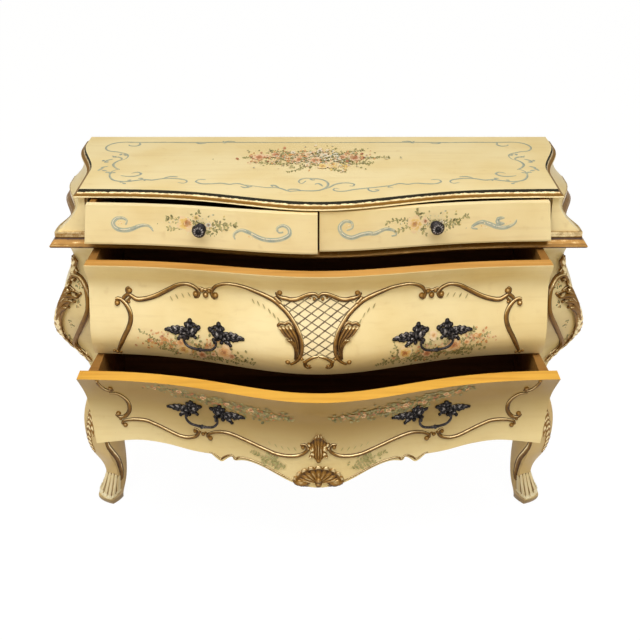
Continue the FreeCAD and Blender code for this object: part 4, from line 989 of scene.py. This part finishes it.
HATCH = srgb(148, 124, 78)
flowers = Drawing(11)
for path in (((-330, 526), (-370, 550), (-392, 560)), ((-320, 530), (-350, 540), (-376, 536)),
             ((-300, 508), (-330, 516), (-352, 524)), ((-290, 512), (-250, 502), (-215, 506)),
             ((-200, 524), (-170, 514), (-140, 510)), ((-260, 520), (-230, 530), (-205, 545)),
             ((-296, 530), (-310, 548), (-316, 562)), ((-240, 516), (-210, 512), (-180, 502)),
             ((180, 528), (168, 548), (162, 566)), ((190, 524), (160, 514), (128, 508)),
             ((200, 520), (230, 512), (262, 508)), ((290, 528), (330, 540), (376, 558)),
             ((300, 524), (330, 522), (356, 530)), ((250, 560), (240, 548), (222, 540)),
             ((280, 520), (300, 510), (326, 510)), ((310, 540), (330, 556), (342, 572)),
             ((190, 518), (210, 506), (240, 502))):
    flowers.sprig(path, 7.5, GREENS)
for x, y, wide, tall, count, tones in (
        (-290, 530, 110, 46, 50, GREENS), (-215, 520, 110, 40, 50, GREENS), (-345, 542, 80, 36, 26, BLOSSOMS),
        (-270, 520, 120, 36, 26, BLOSSOMS), (200, 524, 110, 46, 50, GREENS), (290, 528, 110, 46, 50, GREENS),
        (350, 550, 60, 36, 20, BLOSSOMS), (240, 524, 140, 40, 30, BLOSSOMS),
        (-245, 548, 60, 40, 16, BLOSSOMS), (-250, 522, 180, 22, 45, GREENS), (245, 524, 180, 22, 45, GREENS)):
    flowers.spray(x, y, wide, tall, 2 * count, 8.5, tones)
for flower in (
        (-296, 524, 18, BUTTER, PEACH_DEEP), (-256, 514, 13, ROSE, ROSE_DEEP), (-206, 532, 21, PEACH, ROSE),
        (-188, 524, 9, ROSE, ROSE_DEEP), (-302, 542, 11, PEACH, ROSE), (-230, 522, 8, BLUSH, ROSE),
        (187, 534, 20, BUTTER, PEACH_DEEP), (298, 536, 21, PEACH, ROSE), (250, 566, 11, BLUSH, PEACH),
        (238, 524, 12, ROSE, ROSE_DEEP), (270, 532, 10, BUTTER, PEACH_DEEP), (326, 542, 8, PEACH, ROSE)):
    flowers.rose(*flower)
for x, y in ((-324, 640), (-312, 645), (-298, 648), (-284, 651), (-272, 652), (-143, 651), (-132, 648),
             (-120, 643), (-108, 635), (-98, 628), (-88, 620), (-79, 613), (284, 651), (298, 650), (312, 648),
             (326, 645), (122, 644), (110, 637), (100, 628), (92, 617)):
    flowers.petal(x, y, math.radians(-60 if x < 0 else -120), 12.0, 3.0, HATCH, SAGE)
flowers.put_up("middle_front_paint", middle_board, "middle_drawer", paint_finish, "painted_wood")


# Bottom drawer front
# One board that sweeps in below the belly and hangs below the case as a shaped apron with a gilt edge.
# Gilt scrolls run across it to two carved shells at the middle, and painted garlands hang above the pulls.
def painted_shade_under_belly(place):
    """Painted shade on the part in under the belly, further down at the middle than at the ends."""
    x = along(place, "X")
    level = along(place, "Z") - 0.2 * (x * x) + 0.01 * noise(place, 9.0, 4.0)
    # Painted shade, strongest on the upper part of the front under the belly.
    return fade(level, 0.258, 0.42)


dress(front_finish("bottom front", bare_edge(0.85), AMBER_PAINTED_LIT, painted_shade_under_belly), "bottom_drawer_front")
bottom_board = face_of("bottom_drawer_front", wrap=0.0)
BOTTOM_SCROLLS = (
    ((482, 474), (477, 457), (469, 444), (459, 440), (452, 446)),
    ((464, 431), (447, 430), (433, 417), (424, 399), (424, 381), (434, 367), (447, 364), (456, 371)),
    ((442, 345), (440, 353), (431, 357), (411, 360), (387, 359), (364, 351), (341, 341), (317, 331),
     (303, 328), (290, 328), (275, 333), (268, 341), (270, 350), (278, 352)),
    ((247, 334), (246, 342), (237, 348), (227, 352), (211, 355), (194, 354), (170, 348), (139, 338),
     (106, 327), (92, 323), (71, 321), (50, 323), (36, 328), (26, 336), (25, 345), (31, 352), (40, 349)),
)
BOTTOM_BALLS = ((481, 478, 4.5), (457, 450, 5.5), (449, 373, 6.0), (435, 345, 5.5), (275, 346, 5.0),
                (241, 335, 6.0), (34, 345, 4.5), (257, 342, 4.5), (264, 346, 3.0), (251, 346, 3.0),
                (445, 360, 4.0), (438, 363, 3.0))
APRON_EDGE = ((246, 298), (236, 297), (226, 291), (218, 286), (210, 293), (198, 300), (190, 299), (184, 293),
              (176, 299), (157, 299), (130, 293), (99, 279), (56, 259))
bottom = Drawing()
for path in BOTTOM_SCROLLS:
    bead(bottom, path, 8.5)
bosses(bottom, BOTTOM_BALLS)
bead(bottom, APRON_EDGE, 4.0)
bottom_boards = (bottom_board, bottom_board)
bottom.pair_up("bottom_scrolls", bottom_boards, "bottom_drawer", carved_finish, "gilt_wood",
               "bottom_drawer_scrolls")


def shell_rise(share):
    """Height of a shell from its heart to its rim: a swell, a hollow and the raised rim."""
    hollow = math.exp(-((share - 0.8) / 0.09) ** 2)
    rim = math.exp(-((share - 0.96) / 0.05) ** 2)
    return 0.5 + 0.2 * math.sin(math.pi * share) - 0.38 * hollow + 0.4 * rim


def fan(drawing, x, y, wide, tall, spread, ribs, height):
    """A carved shell that opens upwards from a point: dished ribs, a scalloped rim and a swelling heart."""
    rows = []
    columns = ribs * 8
    for i in range(17):
        share = i / 16.0
        row = []
        for j in range(columns + 1):
            turn = 1.0 - 2.0 * j / columns
            way = math.pi / 2.0 + turn * spread
            rib = abs(math.sin(math.pi * ribs * (turn + 1.0) / 2.0)) ** 0.6
            reach = share * (0.87 + 0.13 * rib)
            rise = (0.4 + 0.6 * rib) * shell_rise(share)
            out = height * rise if 0 < i < 16 else -0.5
            row.append((x + wide * reach * math.cos(way), y + tall * reach * math.sin(way), out,
                        crest(1.1 * rise)))
        rows.append(row)
    drawing.skin(rows)


def palmette(drawing, foot, widths, tall, ribs, height):
    """An upright shell over a pointed foot: its half widths from foot to rim, with ribs running up."""
    rows = []
    for i in range(29):
        share = i / 28.0
        step = share * (len(widths) - 1)
        k = min(int(step), len(widths) - 2)
        half = widths[k] + (widths[k + 1] - widths[k]) * (step - k)
        row = []
        for j in range(8 * ribs + 1):
            turn = 1.0 - j / (4.0 * ribs)
            rib = abs(math.sin(math.pi * ribs * (turn + 1.0) / 2.0)) ** 0.6
            arch = tall * share * (1.0 - 0.28 * share * share * turn * turn + 0.05 * share * rib)
            rise = (0.35 + 0.65 * rib) * shell_rise(share) * (1.0 - 0.45 * turn * turn)
            out = height * rise if 0 < i < 28 and 0 < j < 8 * ribs else -0.5
            row.append((half * turn, foot + arch, out, crest(1.1 * rise)))
        rows.append(row)
    drawing.skin(rows)


shells = Drawing()
palmette(shells, 312, (1, 9, 15, 16, 14, 13, 14, 17, 19, 18, 14), 64, 5, 10.0)
fan(shells, 0, 258, 57, 43, 1.5, 9, 11.0)
for side in (1, -1):
    leaf(shells, ((side * 11, 336), (side * 16, 346), (side * 23, 357)), 6, 2, 8.0)
    leaf(shells, ((side * 12, 340), (side * 18, 342), (side * 25, 346)), 4, 2, 7.0)
    leaf(shells, ((side * 8, 334), (side * 15, 328), (side * 19, 320)), 5, 2, 7.0)
    boss(shells, side * 39, 256, 18.0, 9.0, 0.6)
    for path in (((56, 262), (46, 267), (34, 266), (24, 268), (18, 262), (22, 255), (30, 257), (30, 263),
                  (25, 264)), ((20, 249), (30, 247), (44, 248), (54, 254))):
        bead(shells, [(side * x, y) for x, y in path], 5.0)
boss(shells, 0, 266, 9.0, 13.0)
boss(shells, 0, 253, 8.0, 8.0)
boss(shells, 0, 314, 6.0, 6.0)
shells.put_up("apron_shells", bottom_board, "bottom_drawer", carved_finish, "gilt_wood",
              "bottom_drawer_shells")

LEFT_GARLAND = ((-378, 468), (-329, 460), (-277, 450), (-225, 438), (-172, 430), (-119, 424), (-56, 412))
RIGHT_GARLAND = ((339, 474), (299, 461), (253, 449), (206, 437), (151, 431), (97, 426), (35, 420))
garland = Drawing(14)
for path in (LEFT_GARLAND, RIGHT_GARLAND):
    garland.sprig(path, 8.0, GREENS)
    stations = smooth(path, 22.0)[1:-1]
    for i, (x, y) in enumerate(stations):
        full = math.sin(math.pi * (i + 1.0) / (len(stations) + 1.0)) ** 0.7
        garland.spray(x, y, 44, 16 + 30 * full, round(8 + 34 * full), 9.5, (LEAF, MOSS, MOSS, SAGE))
        garland.spray(x, y, 36, 8 + 20 * full, round(2 + 9 * full), 8.0, (ROSE_DEEP, ROSE_DEEP, PEACH_DEEP))
        if i % 2 == 0:
            garland.rose(x, y + garland.chance.uniform(-6, 6), 3.5 + 4.5 * full, ROSE, ROSE_DEEP)
for side in (1, -1):
    for path in (((70, 290), (95, 303), (146, 320)), ((80, 286), (100, 294), (124, 300)),
                 ((84, 300), (98, 312), (112, 322))):
        garland.sprig([(side * x, y) for x, y in path], 9.0, (SAGE, LEAF, SAGE))
    garland.spray(side * 104, 306, 80, 22, 12, 8.0, (SAGE, LEAF, SAGE))
    for x, y in ((48, 336), (62, 336), (76, 337), (90, 340), (104, 344)):
        garland.petal(side * x, y, math.radians(90 - side * 35), 11.0, 2.0, SAGE, LEAF)
garland.put_up("bottom_front_paint", bottom_board, "bottom_drawer", paint_finish, "painted_wood")


# Knobs and pulls
# Cast antique bronze, nearly black: a petalled knob on each frieze drawer, and on the other drawers pairs
# of lobed leaf plates with posts, in whose eyes a drop bail swings. All are held by screws from behind.
BRONZE = srgb(52, 48, 50)
BRONZE_DARK = srgb(18, 16, 18)
# Pale bronze: rubbed at random on rods, and painted highlight on the leaf plates and knob petals.
BRONZE_RUBBED_AND_HIGHLIGHT = srgb(176, 168, 164)


def bronze_finish(name, tone_of):
    def look(place):
        cast = noise(place, 260.0, 5.0)
        height = tone_of(place) + 0.7 * (cast - 0.5)
        colour = mix(fade(height, 0.2, 0.6), BRONZE_DARK, BRONZE)
        colour = mix(fade(height, 0.55, 1.05), colour, BRONZE_RUBBED_AND_HIGHLIGHT)
        return colour, 0.34 + 0.2 * cast, bump(cast, 0.3, 0.0006), 0.75

    return new_finish(name, look)


rod_finish = bronze_finish("bronze rod", lambda place: 0.3 + 0.5 * noise(place, 60.0, 3.0))
# The leaf plates take the carved tone, so their pale tops are painted highlight as well as rubbed bronze.
plate_finish = bronze_finish("bronze leaf", lambda place: 0.8 * carved_height_and_light(place))
dress(rod_finish, "left_drawer_knob", "right_drawer_knob")
PETALS = 12
PETAL_FOOT = 4.5
PETAL_TIP = 13.05
PETAL_HALF = 2.9
for body in ("left_drawer", "right_drawer"):
    low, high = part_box(body + "_knob")
    petals = Drawing()
    middle_x = 0.5 * (low.x + high.x) / MM
    middle_z = 0.5 * (low.z + high.z) / MM
    for i in range(PETALS):
        x = math.cos(i * math.tau / PETALS)
        y = math.sin(i * math.tau / PETALS)
        path = [(middle_x + reach * x, middle_z + reach * y) for reach in (PETAL_FOOT, PETAL_TIP)]
        leaf(petals, path, PETAL_HALF, 1, 1.6)
    boss(petals, middle_x, middle_z, 4.2, 2.0)
    petals.put_up(body + "_knob_petals", face_of(body + "_knob"), body, plate_finish, "antique_metal")

PLATE_STEMS = (
    ((0, 4), (9, 0), (17, 2), (28, 0), (37, 2), (46, 6)), ((0, 4), (7, 10), (21, 12), (35, 11)),
    ((0, 4), (-1, 12), (-4, 18), (5, 21)), ((-4, 18), (-5, 24), (-4, 30)), ((-4, 18), (-12, 22), (-23, 17)),
    ((0, 4), (-9, 1), (-16, 9), (-23, 17)), ((17, 2), (12, -5), (22, -12)), ((0, 4), (2, -2), (2, -9)),
    ((-9, 1), (-13, -2), (-16, -5)), ((21, 12), (24, 7), (28, 0)),
)
PLATE_LEAVES = (
    (((0, 1), (-3, 16), (-4, 34)), 11.0, 3), (((0, 6), (18, 9), (36, 8), (53, 5)), 9.0, 5),
    (((0, 3), (-10, 7), (-18, 13), (-27, 18)), 8.0, 2), (((4, 5), (13, -4), (25, -13)), 6.5, 3),
    (((3, 2), (-8, -2), (-19, -6)), 5.0, 2),
)
PLATE_KNOBS = (
    (50, 6, 3.2), (45, 6, 3.8), (35, 11, 4.0), (37, 2, 3.2), (28, 0, 3.7), (21, 12, 4.2), (17, 2, 4.6),
    (22, -12, 3.7), (12, -5, 4.2), (7, 10, 4.8), (5, 21, 4.2), (-4, 29, 4.7), (-12, 22, 4.2), (-4, 18, 4.4),
    (-23, 17, 4.8), (-16, 9, 4.2), (-9, 1, 4.5), (-16, -5, 3.5), (2, -8, 4.2), (0, 4, 5.5),
)
POST_RADIUS = 0.0036
POST_LENGTH = 0.016
EYE_RADIUS = 0.0045
EYE_WIRE = 0.0017
HALF_SPAN = 34.0
POST_REACH = 17.0
INNER_SHIFT = 7.0
BAIL_LINE = (
    (-30.5, 0), (-34, 0), (-37, -1), (-37.5, -5), (-35, -13), (-27, -20.5), (-15, -23.5), (0, -24.5),
    (15, -23.5), (27, -20.5), (35, -13), (37.5, -5), (37, -1), (34, 0), (30.5, 0),
)
for joint in frame["joints"]:
    if not joint["name"].endswith("_swing"):
        continue
    drawer, hand = joint["name"].split("_")[:2]
    body = drawer + "_drawer"
    pull = drawer + "_" + hand
    pivot = Vector(joint["pos_m"])
    way = Vector(joint["axis"]).normalized()
    if way.x < 0.0:
        way = -way
    level = way.cross(Vector((0.0, 0.0, 1.0)))
    if level.y > 0.0:
        level = -level
    plates = Drawing()
    for end in (1, -1):
        outer = end if hand == "right" else -end
        eye = pivot + way * (end * HALF_SPAN * MM)
        foot = eye - level * (POST_REACH * MM)
        shift = 0.0 if outer == 1 else INNER_SHIFT
        middle_x = foot.x / MM + end * shift
        middle_z = foot.z / MM
        for path, half, lobes in PLATE_LEAVES:
            leaf(plates, [(middle_x + end * x, middle_z + y) for x, y in path], half, lobes, 4.5)
        for path in PLATE_STEMS:
            bead(plates, [(middle_x + end * x, middle_z + y) for x, y in path], 6.0)
        for x, y, radius in PLATE_KNOBS:
            boss(plates, middle_x + end * x, middle_z + y, 1.15 * radius, 1.35 * radius)
        bpy.ops.object.select_all(action="DESELECT")
        bpy.ops.mesh.primitive_cylinder_add(vertices=20, radius=POST_RADIUS, depth=POST_LENGTH,
                                            location=foot + level * (0.5 * POST_LENGTH),
                                            rotation=level.to_track_quat("Z", "Y").to_euler())
        post = bpy.context.object
        bpy.ops.mesh.primitive_torus_add(major_radius=EYE_RADIUS, minor_radius=EYE_WIRE, major_segments=28,
                                         minor_segments=12, location=eye,
                                         rotation=way.to_track_quat("Z", "Y").to_euler())
        post.select_set(True)
        bpy.context.view_layer.objects.active = post
        bpy.ops.object.join()
        bpy.ops.object.transform_apply(location=True, rotation=True, scale=True)
        bpy.ops.object.shade_smooth_by_angle()
        post.name = pull + "_post_" + ("outer" if outer == 1 else "inner")
        post.data.materials.append(rod_finish)
        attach(post, body)
    board = middle_board if drawer == "middle" else bottom_board
    plates.put_up(pull + "_leaf_plates", board, body, plate_finish, "antique_metal", pull + "_rosettes")

    def hung(across, up, out):
        return pivot + way * (across * MM) + Vector((0.0, 0.0, up * MM)) + level * (out * MM)

    rod = Drawing()
    rows = []
    for share, x, y, way_x, way_y in walk(BAIL_LINE, 1.5):
        knop = 2.4 * math.exp(-(x / 3.2) ** 2) + 0.8 * math.exp(-((abs(x) - 7.0) / 1.2) ** 2)
        thick = 2.2 + 0.8 * min(1.0, -y / 16.0) + knop
        if share in (0.0, 1.0):
            thick = 0.05
        row = []
        for j in range(13):
            turn = -j * math.tau / 12.0
            row.append((x - way_y * thick * math.cos(turn), y + way_x * thick * math.cos(turn),
                        thick * math.sin(turn), crest(0.5)))
        rows.append(row)
    rod.skin(rows)
    rod.put_up(pull + "_bail_rod", hung, pull + "_bail", rod_finish, "antique_metal", pull + "_bail")


# Floor, light and camera
# A white floor that ends at a round white wall far off, so that no horizon shows. A broad soft light
# hangs over the front, a weaker one stands at the front left, and an even warm sky fills the rest.
SKY = (1.0, 0.9, 0.64, 1.0)
SKY_STRENGTH = 0.36
WALL_RADIUS = 29.0
WALL_HEIGHT = 40.0
bpy.ops.object.select_all(action="DESELECT")
bpy.ops.mesh.primitive_plane_add(size=60.0, location=(0.0, 0.0, -0.0005))
floor = bpy.context.object
bpy.ops.mesh.primitive_cylinder_add(vertices=64, radius=WALL_RADIUS, depth=WALL_HEIGHT,
                                    end_fill_type="NOTHING", location=(0.0, 0.0, 0.5 * WALL_HEIGHT - 0.1))
floor.select_set(True)
bpy.context.view_layer.objects.active = floor
bpy.ops.object.join()
floor.name = "floor"
white = bpy.data.materials.new("white floor")
white.use_nodes = True
tree = white.node_tree
sight = Wire(tree, tree.nodes.new("ShaderNodeLightPath").outputs["Is Camera Ray"])
glossy = sight.node("ShaderNodeLightPath", None, None, "Is Glossy Ray")
clear = sight.node("ShaderNodeLightPath", None, None, "Is Transmission Ray")
paper = sight.node("ShaderNodeBsdfDiffuse", None, {"Color": (0.78, 0.7, 0.5, 1.0)})
seen = sight.node("ShaderNodeEmission", None, {"Color": (1.0, 1.0, 1.0, 1.0), "Strength": 0.98})
shadowed = sight.node("ShaderNodeBsdfDiffuse", None, {"Color": (0.05, 0.05, 0.05, 1.0)})
lit = sight.node("ShaderNodeAddShader", None, {0: seen, 1: shadowed})
looked_at = sight.sum("MAXIMUM", sight, sight.sum("MAXIMUM", glossy, clear))
ground = sight.node("ShaderNodeMixShader", None, {0: looked_at, 1: paper, 2: lit})
sky = sight.node("ShaderNodeEmission", None, {"Color": SKY, "Strength": SKY_STRENGTH})
wall = sight.node("ShaderNodeMixShader", None, {0: sight, 1: sky, 2: seen})
level = along(sight.node("ShaderNodeTexCoord", None, None, "Object"), "Z")
stage = sight.node("ShaderNodeMixShader", None, {0: fade(level, 0.01, 0.02), 1: ground, 2: wall})
tree.links.new(stage.socket, tree.nodes["Material Output"].inputs["Surface"])
floor.data.materials.append(white)

world = bpy.data.worlds.new("studio")
bpy.context.scene.world = world
world.use_nodes = True
world.node_tree.nodes["Background"].inputs["Color"].default_value = SKY
world.node_tree.nodes["Background"].inputs["Strength"].default_value = SKY_STRENGTH


PANEL_DEPTH = 1.5
PANEL_TARGET = (0.0, 0.0, 0.5)


def soft_light(name, place, size, power):
    lamp = bpy.data.lights.new(name, "AREA")
    lamp.shape = "RECTANGLE"
    lamp.size = size
    lamp.size_y = PANEL_DEPTH
    lamp.energy = power
    made = bpy.data.objects.new(name, lamp)
    made.location = place
    made.rotation_euler = (Vector(PANEL_TARGET) - Vector(place)).to_track_quat("-Z", "Y").to_euler()
    bpy.context.scene.collection.objects.link(made)


soft_light("sky panel", (-0.1, -1.45, 3.2), 4.2, 94.0)
soft_light("front panel", (-0.8, -3.6, 0.8), 3.0, 14.0)

camera = bpy.data.cameras.new("camera")
camera.sensor_width = 36.0
camera.lens = 61.2
camera.shift_x = 0.0023
viewer = bpy.data.objects.new("camera", camera)
viewer.location = (0.0, -2.3108, 1.625)
viewer.rotation_euler = (math.radians(64.2), 0.0, 0.0)
bpy.context.scene.collection.objects.link(viewer)
bpy.context.scene.camera = viewer
bpy.context.scene.view_settings.view_transform = "Standard"
